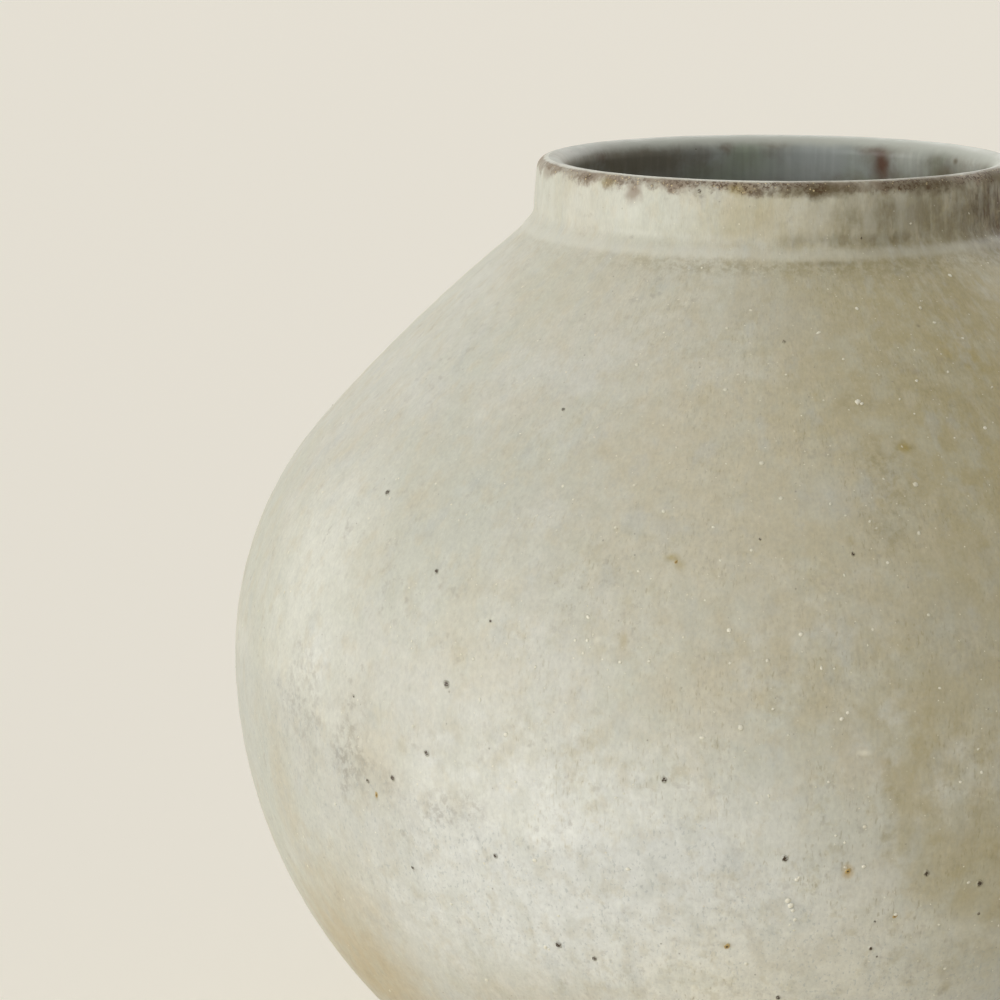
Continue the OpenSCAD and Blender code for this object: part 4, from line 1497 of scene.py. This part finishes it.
def small_shape(name, rings, sides, seed):
    """A low round shape of rings given as radius, lift and core, a little uneven."""
    lots = np.random.default_rng(seed)
    co, lift, core = [(0, 0, 0)], [rings[0][1]], [rings[0][2]]
    for radius, rise, depth in rings[1:]:
        for side in range(sides):
            angle = TURN * (side + 0.3 * lots.random()) / sides
            reach = radius * (0.76 + 0.48 * lots.random())
            co.append((reach * math.cos(angle), reach * math.sin(angle), 0))
            lift.append(rise * (0.8 + 0.4 * lots.random()))
            core.append(depth)
    last = 1 + (len(rings) - 2) * sides
    co.append((0, 0, 0))
    lift.append(rings[-1][1] * 1.5)
    core.append(0)
    faces = disc_faces(len(rings) - 1, sides)
    faces += [(len(co) - 1, last + (i + 1) % sides, last + i) for i in range(sides)]
    mesh = bpy.data.meshes.new(name)
    mesh.from_pydata(co, [], faces, shade_flat=False)
    mark(mesh, "lift", lift)
    mark(mesh, "core", core)
    thing = bpy.data.objects.new(name, mesh)
    bpy.context.scene.collection.objects.link(thing)
    return thing


def set_on_coat(name, seen, seen_scale, strew, thing, material, **values):
    """Sets small shapes on the outer glaze: at the seen places, and strewn by a mask."""
    coat = bpy.data.objects["glaze_coat_outer"]
    mesh = coat.data.copy()
    count = len(mesh.vertices)
    co = np.empty(count * 3, np.float32)
    mesh.vertices.foreach_get("co", co)
    co = co.reshape(-1, 3)
    skin = np.empty(count, np.float32)
    mesh.attributes["skin"].data.foreach_get("value", skin)
    spots = [(*on_wall(x, y), width * MM / 2 * seen_scale) for x, y, width in seen]
    mesh.vertices.add(len(spots))
    for index, spot in enumerate(spots):
        mesh.vertices[count + index].co = spot[0]
    size = np.zeros(count + len(spots))
    size[count:] = [spot[2] for spot in spots]
    ways = np.zeros((count + len(spots), 3))
    ways[count:] = [spot[1] for spot in spots]
    mask = np.zeros(count + len(spots))
    mask[:count] = strew(co) * (skin > 0.5)
    for label in ("way", "size", "strew", "ring", "run", "drift", "skin"):
        if label in mesh.attributes:
            mesh.attributes.remove(mesh.attributes[label])
    for label, given in (("way", ways), ("size", size), ("strew", mask)):
        mark(mesh, label, given)
    piece = bpy.data.objects.new(name, mesh)
    bpy.context.scene.collection.objects.link(piece)
    grow(piece, TREES["scatter"], shape=thing, material=MATERIALS[material], **values)
    bpy.data.objects.remove(thing)
    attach(piece, ROOT)
    return piece


def facing(co):
    """How far each point faces the camera's side: 1 in front, -1 behind."""
    flat = co[:, :2] / np.maximum(np.linalg.norm(co[:, :2], axis=1), 1e-6)[:, None]
    return -flat[:, 1]


class MOONJAR_OT_iron(bpy.types.Operator):
    """Sets the iron specks and amber spots that broke through the glaze"""
    bl_idname = "moonjar.iron"
    bl_label = "Iron Specks"

    def execute(self, context):
        # Rings of a small shape: radius, lift and core
        speck = [(0, 0.10, 1.0), (0.22, 0.13, 1.0), (0.42, 0.22, 0.85), (0.62, 0.06, 0.5),
                 (1.0, -0.03, 0.0)]

        def behind(co):
            return (facing(co) < 0.02) * smooth(co[:, 2], *SPECK_FOOT) * (co[:, 2] < SPECK_TOP)

        set_on_coat("iron_specks", IRON_SEEN, 1.1, behind,
                    small_shape("iron_speck", speck, 10, 4), "iron",
                    spacing=0.012, density=900.0, least=0.0004, most=0.0011, bias=1.4, seed=7)
        spot = [(0, 0.05, 1.0), (0.3, 0.09, 0.8), (0.65, 0.04, 0.45), (1.0, -0.02, 0.0)]
        set_on_coat("amber_specks", AMBER_SEEN, 0.9, behind,
                    small_shape("amber_speck", spot, 10, 5), "amber",
                    spacing=0.035, density=200.0, least=0.0006, most=0.0012, bias=1.0, seed=3)
        return {"FINISHED"}


class MOONJAR_OT_feldspar(bpy.types.Operator):
    """Strews the white feldspar grains over the outer glaze"""
    bl_idname = "moonjar.feldspar"
    bl_label = "Feldspar Grains"

    def execute(self, context):
        def strew(co):
            angle = np.arctan2(co[:, 1], co[:, 0])
            left = 0.5 - 0.5 * np.cos(angle)
            many = 1 - 0.72 * smooth(left, 0.55, 0.95)
            many *= 1 - 0.5 * smooth(co[:, 2], *GRAIN_THIN)
            return many * smooth(co[:, 2], *GRAIN_FOOT) * (co[:, 2] < GRAIN_TOP)

        # Rings of a small shape: radius, lift and core
        grain = [(0, 0.26, 1.0), (0.42, 0.24, 1.0), (0.76, 0.1, 0.55), (1.0, -0.04, 0.0)]
        set_on_coat("feldspar_grains", WHITE_SEEN, 1.05, strew,
                    small_shape("feldspar_grain", grain, 7, 6), "feldspar",
                    spacing=hand().grain_spacing, density=17000.0, least=0.00018, most=0.00055,
                    bias=3.2, seed=11)
        return {"FINISHED"}


class MOONJAR_PT_panel(bpy.types.Panel):
    """Lists the steps and sizes of the moon jar"""
    bl_idname = "MOONJAR_PT_panel"
    bl_label = "Moon Jar"
    bl_space_type = "VIEW_3D"
    bl_region_type = "UI"
    bl_category = "Moon Jar"

    def draw(self, context):
        for step in STEPS:
            self.layout.operator(step.bl_idname)
        for group in (shape(), hand(), palette(), studio()):
            box = self.layout.box()
            for name in group.__annotations__:
                box.prop(group, name)


STEPS = (
    MOONJAR_OT_studio, MOONJAR_OT_finishes, MOONJAR_OT_outer_glaze, MOONJAR_OT_inner_glaze,
    MOONJAR_OT_bowl, MOONJAR_OT_foot, MOONJAR_OT_clay, MOONJAR_OT_iron, MOONJAR_OT_feldspar,
)
SETTINGS = {
    "moon_jar_shape": MoonJarShape, "moon_jar_hand": MoonJarHand,
    "moon_jar_glaze": MoonJarGlaze, "moon_jar_studio": MoonJarStudio,
}


def register():
    for group in (*SETTINGS.values(), *STEPS, MOONJAR_PT_panel):
        bpy.utils.register_class(group)
    for name, group in SETTINGS.items():
        setattr(bpy.types.Scene, name, bpy.props.PointerProperty(type=group))


def unregister():
    for name in SETTINGS:
        delattr(bpy.types.Scene, name)
    for group in reversed((*SETTINGS.values(), *STEPS, MOONJAR_PT_panel)):
        bpy.utils.unregister_class(group)


def main():
    """Builds the jar's looks step by step."""
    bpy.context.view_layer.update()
    register()
    for step in STEPS:
        family, name = step.bl_idname.split(".")
        getattr(getattr(bpy.ops, family), name)()


if __name__ == "__main__":
    main()
